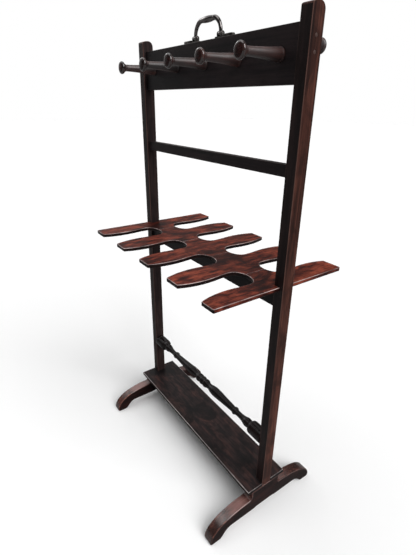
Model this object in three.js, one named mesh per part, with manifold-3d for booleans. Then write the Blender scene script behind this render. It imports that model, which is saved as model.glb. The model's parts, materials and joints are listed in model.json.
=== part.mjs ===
// Boot rack of dark mahogany: two posts on arched feet, a low shelf, a turned stretcher,
// a platform of five boot arms with open slots between them, two upper rails, turned pegs
// on both faces of the top rail and a hinged carrying handle on its top edge.
// Millimetres, +Z up, origin on the floor under the middle. X runs along the rack and the
// arms reach forward (-Y) and back (+Y).

import * as THREE from 'three';
import { mergeVertices } from 'three/addons/utils/BufferGeometryUtils.js';
import Module from 'manifold-3d';

// Fits
const FIT = 0.3; // air round a tenon, spigot, dowel or pin
const SEAT = 0.3; // air between a board and the piece that it rests on
const ARRIS = 1.2; // small chamfer on long edges
const SOFT_ARRIS = 2.4; // worn edge of a board or foot
const OVERRUN = 5; // how far a cutting solid runs past the face that it cuts

// Posts
const POST_OUTER = 352.5; // outer faces, from the middle of the rack
const POST_WIDTH = 30;
const POST_DEPTH = 35;
const POST_CROWN_RISE = 30; // crown over the peg rail's top edge
const POST_FRONT_DROP = 6; // crown to the front corner
const POST_BACK_DROP = 15; // crown to the back corner
const POST_CROWN_Y = 3; // how far behind the front-to-back middle the crown lies
const FOOT_TENON_DEPTH = 22;
const FOOT_TENON_WIDTH = 12;
const FOOT_TENON_LENGTH = 56;

// Rails
const RAIL_THICKNESS = 18;
const PEG_RAIL_TOP = 1353.5;
const PEG_RAIL_HEIGHT = 108;
const MIDDLE_RAIL_SHARE = 0.6468; // its place on the way from the arms to the peg rail
const MIDDLE_RAIL_HEIGHT = 28;
const BEARER_THICKNESS = 20;
const BEARER_HEIGHT = 52;
const TENON_LENGTH = 22;
const TENON_THICKNESS = 9;
const TENON_SHOULDER = 4; // step at the top and bottom of a rail tenon
const RAIL_DOWEL_RADIUS = 4;
const RAIL_DOWEL_REACH = 36; // into the end of the peg rail
const RAIL_DOWEL_LOW_DROP = 53.5; // under the peg rail's top edge
const RAIL_DOWEL_HIGH_DROP = 25.5;

// Boot arms
const ARM_COUNT = 5;
const ARM_TOP = 803.5;
const ARM_THICKNESS = 11;
const END_ARM_INSET = 11.5; // outer face of a post to the straight edge of an end arm
const END_ARM_HALF = 20; // that edge to the middle of the end arm's front tip
const END_ARM_BACK_HALF = 33; // the same at the back
const END_ARM_SHIFT = 9; // end arms lie this much further out than the even pitch
const FRONT_ARM_SHIFT = 9; // hand-cut: all front arms but the last lie this much to the right
const ARM_REACH = 217;
const ARM_WAIST_HALF = 36;
const ARM_SWELL_HALF = 41.5;
const ARM_TIP_HALF = 26;
const ARM_TAPER_HALF = 40.5; // pull of the curve from swell to tip
const ARM_TAPER_REACH = 32;
const ARM_TIP_CORNER = 5; // outer corner of an end arm
const ARM_SWELL_REACH = 77; // tip of an arm back to its widest place
const SLOT_BOTTOM_Y = 34;
const SLOT_TURN_Y = 63; // where the rounded slot end meets the side of an arm
const BOARD_JOINT = 0.3; // line between two arm boards
const BOARD_DOWEL_RADIUS = 2.5;
const BOARD_DOWEL_LENGTH = 36;
const BOARD_DOWEL_Y = 22;
const ARM_SCREW_RADIUS = 1.9;
const ARM_SCREW_BITE = 6; // thread in the board
const ARM_SCREW_STEM = 22; // shank in the bearer rail
const ARM_SCREW_HEAD_RADIUS = 3.8;
const ARM_SCREW_HEAD_HEIGHT = 2.6;
const ARM_SCREW_WELL_RADIUS = 5;

// Shelf
const SHELF_TOP = 126;
const SHELF_THICKNESS = 12;
const SHELF_HALF_DEPTH = 75;
const SHELF_DOWEL_RADIUS = 4;
const SHELF_DOWEL_RISE = 8; // into the shelf
const SHELF_DOWEL_SINK = 18; // into the foot
const SHELF_DOWEL_Y = 40;

// Feet
const FOOT_WIDTH = 34;
const FOOT_REACH = 214;
const FOOT_TOE_HEIGHT = 8;
const FOOT_TOE_ROUND = 9; // toe to the outer end of the pad
const FOOT_PAD = 22; // length of the pad on the floor
const FOOT_HEEL = 50; // length of the curve from the pad up to the arch
const FOOT_HEEL_PULL = 19; // pull at both ends of that curve
const FOOT_ARCH_HEIGHT = 30;
const FOOT_ARCH_Y = 50; // inner end of the arch
const FOOT_MIDDLE_Y = 28; // half of the raised flat in the middle
const FOOT_MIDDLE_HEIGHT = 33;
const FOOT_BLOCK_HALF = 56; // raised middle that carries the shelf
const FOOT_COVE = 12;
const FOOT_BACK_HEIGHT = 80;
const FOOT_SHOULDER_REACH = 66; // shoulder to toe
const FOOT_SHOULDER_HEIGHT = 69;
const FOOT_INSTEP_REACH = 32; // pull of the curve from shoulder to toe
const FOOT_INSTEP_HEIGHT = 61;
const FOOT_TOE_PULL_HEIGHT = 36;

// Turned stretcher
const STRETCHER_Z = 284.5;
const STRETCHER_TENON_RADIUS = 8;
const STRETCHER_TENON = 20; // length in the post
const STRETCHER_SIDES = 16;
const STRETCHER_BEAD_RADIUS = 15.2;
const STRETCHER_CORE_RADIUS = 12.4;
const STRETCHER_GROOVE_RADIUS = 10.6;
const STRETCHER_VASE_RADIUS = 15.4;
const STRETCHER_TAPER_RADIUS = 10.2;
const STRETCHER_RING_RADIUS = 12.8;
const STRETCHER_REEL_RADIUS = 9;
const STRETCHER_BULB_RADIUS = 14.4;
const STRETCHER_DRUM_RADIUS = 22;
const MIDDLE_BEAD_PITCH = 20;
const MIDDLE_BEAD_HALF = 8;
const GROOVE_X = 39;
const VASE_X = 66;
const VASE_LEAN = 16;
const RING_FROM_POST = 136.5;
const RING_HALF = 5;
const BULB_FROM_POST = 76.5;
const BULB_HALF = 14;
const DRUM_LENGTH = 55.5;
const BEAD_CROWN_SHARE = 0.45; // flat top of a bead, as a share of its half width

// Pegs
const PEG_COUNT = 5;
const FRONT_PEG_MARGIN = 52.5; // post to the last peg of the row
const FRONT_PEG_DROP = 52.5; // under the peg rail's top edge
const BACK_PEG_MARGIN = 58.5;
const BACK_PEG_DROP = 26;
const PEG_SPIGOT_RADIUS = 6;
const PEG_BEAD_RADIUS = 16;
const PEG_BEAD_LENGTH = 5;
const PEG_FLARE_RADIUS = 13.8;
const PEG_FLARE_Y = 9;
const PEG_MIDDLE_RADIUS = 11;
const PEG_MIDDLE_Y = 45;
const PEG_NECK_RADIUS = 9;
const PEG_NECK_Y = 95;
const PEG_HEAD_RADIUS = 16.8;
const PEG_HEAD_Y = 107;
const PEG_HEAD_EDGE = 3; // half the thickness of the head's rim
const PEG_FACE_RADIUS = 11.4;
const PEG_LENGTH = 113;
const PEG_SIDES = 14;

// Carrying handle
const PLATE_THICKNESS = 3;
const PLATE_WIDTH = 14;
const PLATE_INNER_REACH = 15; // leg of the handle to the plate's inner end
const PLATE_OUTER_REACH = 51;
const PLATE_EDGE = 0.6;
const PLATE_BOSS_REACH = 13; // leg of the handle to the thick outer part of the plate
const PLATE_BOSS_HEIGHT = 6.2;
const EAR_THICKNESS = 4.5;
const EAR_RADIUS = 5.6;
const PIVOT_HEIGHT = 9.3; // pivot line over the rail's top edge
const PIVOT_RADIUS = 2;
const EYE_RADIUS = 5.2;
const EYE_HALF = 5.2;
const EYE_AIR = 0.4; // air between the eye and each ear
const BAIL_HALF = 54; // from the middle to each leg
const BAIL_RADIUS = 4.3;
const BAIL_RISE = 36; // pivot line to the middle of the grip
const BAIL_LEG = 6; // straight part of each leg
const BAIL_TOP_HALF = 27.6; // straight part of the top
const BEND_SHARE = 0.55;
const GRIP_HALF = 25;
const GRIP_RADIUS = 7.6;
const GRIP_COLLAR_RADIUS = 6;
const GRIP_COLLAR = 2.4;
const BAIL_SIDES = 10;
const BAIL_STEPS = 30;
const GRIP_SIDES = 14;
const PLATE_SCREW_NEAR = 21; // leg of the handle to each screw
const PLATE_SCREW_FAR = 39;
const PLATE_SCREW_RADIUS = 1.7;
const PLATE_SCREW_HEAD_RADIUS = 3.4;
const PLATE_SCREW_HEAD_HEIGHT = 1.7;
const PLATE_SCREW_LENGTH = 18;
const PLATE_SCREW_TIP = 4;
const SCREW_SLOT_WIDTH = 0.8;
const SCREW_SLOT_DEPTH = 0.7;

const DOWEL_SIDES = 12;
const CURVE_STEPS = 5;

const wood = (color, roughness) => new THREE.MeshStandardMaterial({ color, roughness, metalness: 0 });
const metal = (color, roughness) => new THREE.MeshStandardMaterial({ color, roughness, metalness: 1 });

const wasm = await Module();
wasm.setup();

// Closed mesh of a geometry, with every shared corner met once.
function solid(geometry) {
  const bare = geometry.clone();
  bare.deleteAttribute('normal');
  bare.deleteAttribute('uv');
  const merged = mergeVertices(bare);
  const index = merged.index.array;
  const triangles = [];
  for (let i = 0; i < index.length; i += 3) {
    const [a, b, c] = [index[i], index[i + 1], index[i + 2]];
    if (a !== b && b !== c && c !== a) {
      triangles.push(a, b, c);
    }
  }
  return new wasm.Manifold(new wasm.Mesh({
    numProp: 3,
    vertProperties: new Float32Array(merged.attributes.position.array),
    triVerts: new Uint32Array(triangles),
  }));
}

function geometryOf(manifold) {
  const mesh = manifold.getMesh();
  const geometry = new THREE.BufferGeometry();
  geometry.setAttribute('position', new THREE.BufferAttribute(new Float32Array(mesh.vertProperties), 3));
  geometry.setIndex(new THREE.BufferAttribute(new Uint32Array(mesh.triVerts), 1));
  geometry.computeVertexNormals();
  return geometry;
}

function cutAll(body, tools) {
  return tools.reduce((left, tool) => left.subtract(tool), body);
}

function joinAll(bodies) {
  return bodies.reduce((whole, body) => whole.add(body));
}

function block(x0, x1, y0, y1, z0, z1) {
  const box = new THREE.BoxGeometry(x1 - x0, y1 - y0, z1 - z0);
  box.translate((x0 + x1) / 2, (y0 + y1) / 2, (z0 + z1) / 2);
  return solid(box);
}

const ALONG_X = new THREE.Matrix4().makeBasis(
  new THREE.Vector3(0, 1, 0),
  new THREE.Vector3(0, 0, 1),
  new THREE.Vector3(1, 0, 0),
);

// A flat outline given thickness, with its edges chamfered all round inside the outline.
function slab(outline, thickness, chamfer) {
  return new THREE.ExtrudeGeometry(outline, {
    depth: thickness - 2 * chamfer,
    bevelEnabled: chamfer > 0,
    bevelThickness: chamfer,
    bevelSize: chamfer,
    bevelOffset: -chamfer,
    bevelSegments: 1,
    curveSegments: CURVE_STEPS,
  }).translate(0, 0, chamfer);
}

// An outline drawn in (y, z), between two places along the rack.
function slabAlongX(outline, x0, x1, chamfer) {
  return solid(slab(outline, x1 - x0, chamfer).applyMatrix4(ALONG_X).translate(x0, 0, 0));
}

// A turned solid from [radius, distance] pairs that start and end on the axis.
function turned(profile, sides) {
  return new THREE.LatheGeometry(profile.map(([r, h]) => new THREE.Vector2(r, h)), sides);
}

const turnedAlongX = (profile, sides, x, y, z) =>
  solid(turned(profile, sides).rotateZ(-Math.PI / 2).translate(x, y, z));

const turnedAlongY = (profile, sides, x, y, z) => solid(turned(profile, sides).translate(x, y, z));

const turnedForward = (profile, sides, x, y, z) =>
  solid(turned(profile, sides).rotateX(Math.PI).translate(x, y, z));

const turnedUp = (profile, sides, x, y, z) =>
  solid(turned(profile, sides).rotateX(Math.PI / 2).translate(x, y, z));

const rod = (radius, length) => [[0, 0], [radius, 0], [radius, length], [0, length]];

const rodAlongX = (radius, x0, x1, y, z) => turnedAlongX(rod(radius, x1 - x0), DOWEL_SIDES, x0, y, z);

const rodAlongY = (radius, y0, y1, x, z) => turnedAlongY(rod(radius, y1 - y0), DOWEL_SIDES, x, y0, z);

const rodUp = (radius, z0, z1, x, y) => turnedUp(rod(radius, z1 - z0), DOWEL_SIDES, x, y, z0);

// A board's section with chamfered corners, drawn about the middle of its bottom edge.
function railSection(thickness, z0, z1, arris) {
  const half = thickness / 2;
  const section = new THREE.Shape();
  section.moveTo(arris - half, z0);
  section.lineTo(half - arris, z0);
  section.lineTo(half, z0 + arris);
  section.lineTo(half, z1 - arris);
  section.lineTo(half - arris, z1);
  section.lineTo(arris - half, z1);
  section.lineTo(-half, z1 - arris);
  section.lineTo(-half, z0 + arris);
  section.closePath();
  return section;
}

const POST_INNER = POST_OUTER - POST_WIDTH;
const POST_CROWN_Z = PEG_RAIL_TOP + POST_CROWN_RISE;
const RAIL_DOWEL_LOW_Z = PEG_RAIL_TOP - RAIL_DOWEL_LOW_DROP;
const RAIL_DOWEL_HIGH_Z = PEG_RAIL_TOP - RAIL_DOWEL_HIGH_DROP;
const END_ARM_EDGE = POST_OUTER - END_ARM_INSET;
const END_ARM_CENTRE = END_ARM_EDGE - END_ARM_HALF;
const ARM_PITCH = 2 * (END_ARM_CENTRE - END_ARM_SHIFT) / (ARM_COUNT - 1);
const ARM_SWELL_Y = ARM_REACH - ARM_SWELL_REACH;
const ARM_TAPER_Y = ARM_REACH - ARM_TAPER_REACH;
const FOOT_X = POST_OUTER - FOOT_WIDTH / 2;
const FOOT_PAD_OUTER = FOOT_REACH - FOOT_TOE_ROUND;
const FOOT_PAD_INNER = FOOT_PAD_OUTER - FOOT_PAD;
const FOOT_HEEL_Y = FOOT_PAD_INNER - FOOT_HEEL;
const FOOT_SHOULDER_Y = FOOT_REACH - FOOT_SHOULDER_REACH;
const FOOT_INSTEP_Y = FOOT_REACH - FOOT_INSTEP_REACH;
const RING_X = POST_INNER - RING_FROM_POST;
const BULB_X = POST_INNER - BULB_FROM_POST;
const DRUM_X = POST_INNER - DRUM_LENGTH;
const FRONT_PEG_Z = PEG_RAIL_TOP - FRONT_PEG_DROP;
const BACK_PEG_Z = PEG_RAIL_TOP - BACK_PEG_DROP;
const PLATE_INNER_X = BAIL_HALF - PLATE_INNER_REACH;
const PLATE_OUTER_X = BAIL_HALF + PLATE_OUTER_REACH;
const PLATE_BOSS_X = BAIL_HALF + PLATE_BOSS_REACH;
const PLATE_SCREW_INNER_X = BAIL_HALF + PLATE_SCREW_NEAR;
const PLATE_SCREW_OUTER_X = BAIL_HALF + PLATE_SCREW_FAR;
const SHELF_BOTTOM = SHELF_TOP - SHELF_THICKNESS;
const ARM_BOTTOM = ARM_TOP - ARM_THICKNESS;
const BEARER_TOP = ARM_BOTTOM - SEAT;
const BEARER_BOTTOM = BEARER_TOP - BEARER_HEIGHT;
const PEG_RAIL_BOTTOM = PEG_RAIL_TOP - PEG_RAIL_HEIGHT;
const MIDDLE_RAIL_TOP = ARM_TOP + MIDDLE_RAIL_SHARE * (PEG_RAIL_BOTTOM - ARM_TOP);
const MIDDLE_RAIL_BOTTOM = MIDDLE_RAIL_TOP - MIDDLE_RAIL_HEIGHT;
const RAIL_FACE = RAIL_THICKNESS / 2;
const SIDES = [['left', -1], ['right', 1]];

// Places of the arms and pegs
const frontArms = [];
const backArms = [];
for (let i = 0; i < ARM_COUNT; i++) {
  const step = i - (ARM_COUNT - 1) / 2;
  const isLast = i === ARM_COUNT - 1;
  const even = i === 0 || isLast ? Math.sign(step) * END_ARM_CENTRE : step * ARM_PITCH;
  frontArms.push(isLast ? even : even + FRONT_ARM_SHIFT);
  backArms.push(2 * step * (END_ARM_EDGE - END_ARM_BACK_HALF) / (ARM_COUNT - 1));
}
const armJoints = [];
for (let i = 1; i < ARM_COUNT; i++) {
  armJoints.push((i - ARM_COUNT / 2) * ARM_PITCH);
}
const OUTER_JOINT = armJoints[armJoints.length - 1];
const pegPlaces = (margin) => {
  const last = POST_INNER - margin;
  return Array.from({ length: PEG_COUNT }, (_, i) => last * (2 * i / (PEG_COUNT - 1) - 1));
};
const frontPegs = pegPlaces(FRONT_PEG_MARGIN);
const backPegs = pegPlaces(BACK_PEG_MARGIN);

// Rails with a tenon at each end, and the mortises that take them
function tenonedRail(thickness, z0, z1, tenonThickness) {
  const bar = slabAlongX(railSection(thickness, z0, z1, ARRIS), FIT - POST_INNER, POST_INNER - FIT, 0);
  const reach = POST_INNER + TENON_LENGTH - FIT;
  const low = z0 + TENON_SHOULDER;
  const high = z1 - TENON_SHOULDER;
  const tenons = block(-reach, reach, -tenonThickness / 2, tenonThickness / 2, low, high);
  return bar.add(tenons);
}

function mortise(side, tenonThickness, z0, z1) {
  const inner = side * (POST_INNER - OVERRUN);
  const end = side * (POST_INNER + TENON_LENGTH);
  const half = tenonThickness / 2 + FIT;
  const low = z0 + TENON_SHOULDER - FIT;
  const high = z1 - TENON_SHOULDER + FIT;
  return block(Math.min(inner, end), Math.max(inner, end), -half, half, low, high);
}

// Posts
function postOutline() {
  const front = -POST_DEPTH / 2;
  const back = POST_DEPTH / 2;
  const outline = new THREE.Shape();
  outline.moveTo(front, SHELF_BOTTOM);
  outline.lineTo(back, SHELF_BOTTOM);
  outline.lineTo(back, POST_CROWN_Z - POST_BACK_DROP);
  outline.quadraticCurveTo(back, POST_CROWN_Z, POST_CROWN_Y, POST_CROWN_Z);
  outline.quadraticCurveTo(front, POST_CROWN_Z, front, POST_CROWN_Z - POST_FRONT_DROP);
  outline.closePath();
  return outline;
}

function post(side) {
  const x0 = Math.min(side * POST_INNER, side * POST_OUTER);
  const middle = x0 + POST_WIDTH / 2;
  const stile = slabAlongX(postOutline(), x0, x0 + POST_WIDTH, ARRIS);
  const tenon = block(
    middle - FOOT_TENON_WIDTH / 2,
    middle + FOOT_TENON_WIDTH / 2,
    -FOOT_TENON_DEPTH / 2,
    FOOT_TENON_DEPTH / 2,
    SHELF_BOTTOM - FOOT_TENON_LENGTH,
    SHELF_BOTTOM + OVERRUN,
  );
  const inner = side * (POST_INNER - OVERRUN);
  const outer = side * (POST_OUTER + OVERRUN);
  const socketEnd = side * (POST_INNER + STRETCHER_TENON + FIT);
  const through = (z) =>
    rodAlongX(RAIL_DOWEL_RADIUS + FIT, Math.min(inner, outer), Math.max(inner, outer), 0, z);
  return cutAll(stile.add(tenon), [
    mortise(side, TENON_THICKNESS, MIDDLE_RAIL_BOTTOM, MIDDLE_RAIL_TOP),
    mortise(side, TENON_THICKNESS, BEARER_BOTTOM, BEARER_TOP),
    rodAlongX(
      STRETCHER_TENON_RADIUS + FIT,
      Math.min(inner, socketEnd),
      Math.max(inner, socketEnd),
      0,
      STRETCHER_Z,
    ),
    through(RAIL_DOWEL_LOW_Z),
    through(RAIL_DOWEL_HIGH_Z),
  ]);
}

// Dowels driven through each post into the ends of the peg rail
function railDowels(side) {
  const outer = side * POST_OUTER;
  const end = side * (POST_INNER - RAIL_DOWEL_REACH);
  const dowel = (z) =>
    rodAlongX(RAIL_DOWEL_RADIUS, Math.min(outer, end), Math.max(outer, end), 0, z);
  return [dowel(RAIL_DOWEL_LOW_Z), dowel(RAIL_DOWEL_HIGH_Z)];
}

function plateScrewPlaces() {
  return SIDES.flatMap(([, side]) => [side * PLATE_SCREW_INNER_X, side * PLATE_SCREW_OUTER_X]);
}

function pegRail() {
  const bar = slabAlongX(
    railSection(RAIL_THICKNESS, PEG_RAIL_BOTTOM, PEG_RAIL_TOP, ARRIS),
    FIT - POST_INNER,
    POST_INNER - FIT,
    0,
  );
  const holes = (places, z) =>
    places.map((x) => rodAlongY(PEG_SPIGOT_RADIUS + FIT, -RAIL_THICKNESS, RAIL_THICKNESS, x, z));
  const dowelHoles = SIDES.flatMap(([, side]) => {
    const outer = side * (POST_INNER + OVERRUN);
    const end = side * (POST_INNER - RAIL_DOWEL_REACH - FIT);
    return [RAIL_DOWEL_LOW_Z, RAIL_DOWEL_HIGH_Z].map((z) =>
      rodAlongX(RAIL_DOWEL_RADIUS + FIT, Math.min(outer, end), Math.max(outer, end), 0, z));
  });
  const screwHoles = plateScrewPlaces().map((x) => {
    const bottom = PEG_RAIL_TOP - PLATE_SCREW_LENGTH - FIT;
    return rodUp(PLATE_SCREW_RADIUS + FIT, bottom, PEG_RAIL_TOP + OVERRUN, x, 0);
  });
  return cutAll(bar, [
    ...holes(frontPegs, FRONT_PEG_Z),
    ...holes(backPegs, BACK_PEG_Z),
    ...dowelHoles,
    ...screwHoles,
  ]);
}

// Turned pegs: spigot, base bead, waisted shank and button head
const pegProfile = [
  [0, -RAIL_THICKNESS],
  [PEG_SPIGOT_RADIUS, -RAIL_THICKNESS],
  [PEG_SPIGOT_RADIUS, 0],
  [PEG_BEAD_RADIUS - ARRIS, 0],
  [PEG_BEAD_RADIUS, PEG_BEAD_LENGTH / 2],
  [PEG_BEAD_RADIUS - ARRIS, PEG_BEAD_LENGTH],
  [PEG_FLARE_RADIUS, PEG_BEAD_LENGTH + ARRIS],
  [PEG_FLARE_RADIUS, PEG_FLARE_Y],
  [PEG_MIDDLE_RADIUS, PEG_MIDDLE_Y],
  [PEG_NECK_RADIUS, PEG_NECK_Y],
  [PEG_FACE_RADIUS, PEG_HEAD_Y - 2 * PEG_HEAD_EDGE],
  [PEG_HEAD_RADIUS, PEG_HEAD_Y - PEG_HEAD_EDGE / 2],
  [PEG_HEAD_RADIUS, PEG_HEAD_Y + PEG_HEAD_EDGE / 2],
  [PEG_FACE_RADIUS, PEG_HEAD_Y + PEG_HEAD_EDGE],
  [0, PEG_LENGTH],
];

const frontPeg = (x) =>
  turnedForward(pegProfile, PEG_SIDES, x, -RAIL_FACE, FRONT_PEG_Z);

const backPeg = (x) => turnedAlongY(pegProfile, PEG_SIDES, x, RAIL_FACE, BACK_PEG_Z);

// Platform of five boards with open slots between the arms. The rear half is drawn from
// right to left and runs a little past the middle, where its turned copy meets it.
function armSide(centres) {
  const turn = ARM_REACH - ARM_TIP_CORNER;
  const waistHold = (SLOT_TURN_Y + ARM_SWELL_Y) / 2;
  const [waist, swell, taper, tip] = [ARM_WAIST_HALF, ARM_SWELL_HALF, ARM_TAPER_HALF, ARM_TIP_HALF];
  const outline = new THREE.Shape();
  outline.moveTo(-END_ARM_EDGE, -OVERRUN);
  outline.lineTo(END_ARM_EDGE, -OVERRUN);
  outline.lineTo(END_ARM_EDGE, turn);
  outline.quadraticCurveTo(END_ARM_EDGE, ARM_REACH, END_ARM_EDGE - ARM_TIP_CORNER, ARM_REACH);
  for (let i = ARM_COUNT - 1; i > 0; i--) {
    const left = centres[i];
    const right = centres[i - 1];
    outline.lineTo(left - tip, ARM_REACH);
    outline.quadraticCurveTo(left - taper, ARM_TAPER_Y, left - swell, ARM_SWELL_Y);
    outline.bezierCurveTo(left - swell, waistHold, left - waist, waistHold, left - waist, SLOT_TURN_Y);
    const half = (left - right) / 2 - waist;
    const depth = SLOT_TURN_Y - SLOT_BOTTOM_Y;
    outline.absellipse((left + right) / 2, SLOT_TURN_Y, half, depth, 0, -Math.PI, true);
    outline.bezierCurveTo(right + waist, waistHold, right + swell, waistHold, right + swell, ARM_SWELL_Y);
    outline.quadraticCurveTo(right + taper, ARM_TAPER_Y, right + tip, ARM_REACH);
  }
  outline.lineTo(ARM_TIP_CORNER - END_ARM_EDGE, ARM_REACH);
  outline.quadraticCurveTo(-END_ARM_EDGE, ARM_REACH, -END_ARM_EDGE, turn);
  outline.closePath();
  return slab(outline, ARM_THICKNESS, ARRIS).translate(0, 0, ARM_BOTTOM);
}

function armPlatform() {
  const turned = frontArms.map((centre) => -centre).reverse();
  return solid(armSide(backArms)).add(solid(armSide(turned).rotateZ(Math.PI)));
}

function boardDowels(grow) {
  return armJoints.flatMap((x) =>
    [-BOARD_DOWEL_Y, BOARD_DOWEL_Y].map((y) => {
      const half = BOARD_DOWEL_LENGTH / 2 + grow;
      const z = (ARM_BOTTOM + ARM_TOP) / 2;
      return rodAlongX(BOARD_DOWEL_RADIUS + grow, x - half, x + half, y, z);
    }));
}

function bootArms() {
  const platform = armPlatform();
  const dowelHoles = boardDowels(FIT);
  const edges = [-END_ARM_EDGE - OVERRUN, ...armJoints, END_ARM_EDGE + OVERRUN];
  return frontArms.map((_, i) => {
    const piece = platform.intersect(block(
      edges[i] + BOARD_JOINT / 2,
      edges[i + 1] - BOARD_JOINT / 2,
      -ARM_REACH - OVERRUN,
      ARM_REACH + OVERRUN,
      ARM_BOTTOM - OVERRUN,
      ARM_TOP + OVERRUN,
    ));
    const notches = SIDES.map(([, side]) => {
      const inner = side * (POST_INNER - FIT);
      const outer = side * (END_ARM_EDGE + OVERRUN);
      const half = POST_DEPTH / 2 + FIT;
      return block(
        Math.min(inner, outer), Math.max(inner, outer), -half, half, ARM_BOTTOM - OVERRUN, ARM_TOP + OVERRUN,
      );
    });
    const screwHole = rodUp(
      ARM_SCREW_RADIUS + FIT, ARM_BOTTOM - OVERRUN, ARM_BOTTOM + ARM_SCREW_BITE + FIT, screwPlaces[i], 0,
    );
    return cutAll(piece, [...notches, ...dowelHoles, screwHole]);
  });
}

// One screw up through the bearer rail into each arm board, from a well in its lower edge
const screwPlaces = frontArms.map((_, i) => {
  const step = i - (ARM_COUNT - 1) / 2;
  const isEnd = i === 0 || i === ARM_COUNT - 1;
  return isEnd ? Math.sign(step) * (END_ARM_CENTRE + OUTER_JOINT) / 2 : step * ARM_PITCH;
});
const SCREW_SEAT_Z = BEARER_TOP - ARM_SCREW_STEM;

function armScrews() {
  const profile = [
    [0, 0],
    [ARM_SCREW_HEAD_RADIUS, 0],
    [ARM_SCREW_HEAD_RADIUS, ARM_SCREW_HEAD_HEIGHT],
    [ARM_SCREW_RADIUS, ARM_SCREW_HEAD_HEIGHT],
    [ARM_SCREW_RADIUS, ARM_SCREW_HEAD_HEIGHT + ARM_SCREW_STEM],
    [ARM_SCREW_RADIUS, ARM_SCREW_HEAD_HEIGHT + ARM_SCREW_STEM + ARM_SCREW_BITE - ARM_SCREW_RADIUS],
    [0, ARM_SCREW_HEAD_HEIGHT + ARM_SCREW_STEM + ARM_SCREW_BITE],
  ];
  const bottom = SCREW_SEAT_Z - ARM_SCREW_HEAD_HEIGHT - FIT;
  const half = SCREW_SLOT_WIDTH / 2;
  const reach = ARM_SCREW_HEAD_RADIUS + OVERRUN;
  const slotTop = bottom + SCREW_SLOT_DEPTH;
  return screwPlaces.map((x) => {
    const slot = block(x - reach, x + reach, -half, half, bottom - OVERRUN, slotTop);
    return turnedUp(profile, DOWEL_SIDES, x, 0, bottom).subtract(slot);
  });
}

function bearerRail() {
  const rail = tenonedRail(BEARER_THICKNESS, BEARER_BOTTOM, BEARER_TOP, TENON_THICKNESS);
  return cutAll(rail, screwPlaces.flatMap((x) => [
    rodUp(ARM_SCREW_WELL_RADIUS, BEARER_BOTTOM - OVERRUN, SCREW_SEAT_Z, x, 0),
    rodUp(ARM_SCREW_RADIUS + FIT, SCREW_SEAT_Z - OVERRUN, BEARER_TOP + OVERRUN, x, 0),
  ]));
}

// Low shelf, let in round both posts, with rounded front and back edges
function shelfSection() {
  const half = SHELF_HALF_DEPTH;
  const round = SHELF_THICKNESS / 3;
  const section = new THREE.Shape();
  section.moveTo(round - half, SHELF_BOTTOM);
  section.lineTo(half - round, SHELF_BOTTOM);
  section.quadraticCurveTo(half, SHELF_BOTTOM, half, SHELF_BOTTOM + round);
  section.lineTo(half, SHELF_TOP - round);
  section.quadraticCurveTo(half, SHELF_TOP, half - round, SHELF_TOP);
  section.lineTo(round - half, SHELF_TOP);
  section.quadraticCurveTo(-half, SHELF_TOP, -half, SHELF_TOP - round);
  section.lineTo(-half, SHELF_BOTTOM + round);
  section.quadraticCurveTo(-half, SHELF_BOTTOM, round - half, SHELF_BOTTOM);
  return section;
}

const shelfDowelPlaces = SIDES.flatMap(([, side]) =>
  [-SHELF_DOWEL_Y, SHELF_DOWEL_Y].map((y) => [side * FOOT_X, y]));

const shelfDowels = (grow) => shelfDowelPlaces.map(([x, y]) =>
  rodUp(
    SHELF_DOWEL_RADIUS + grow,
    SHELF_BOTTOM - SHELF_DOWEL_SINK - grow,
    SHELF_BOTTOM + SHELF_DOWEL_RISE + grow,
    x,
    y,
  ));

function bottomShelf() {
  const board = slabAlongX(shelfSection(), -POST_OUTER, POST_OUTER, 0);
  const notches = SIDES.map(([, side]) => {
    const inner = side * (POST_INNER - FIT);
    const outer = side * (POST_OUTER + OVERRUN);
    const half = POST_DEPTH / 2 + FIT;
    return block(
      Math.min(inner, outer),
      Math.max(inner, outer),
      -half,
      half,
      SHELF_BOTTOM - OVERRUN,
      SHELF_TOP + OVERRUN,
    );
  });
  return cutAll(board, [...notches, ...shelfDowels(FIT)]);
}

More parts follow.
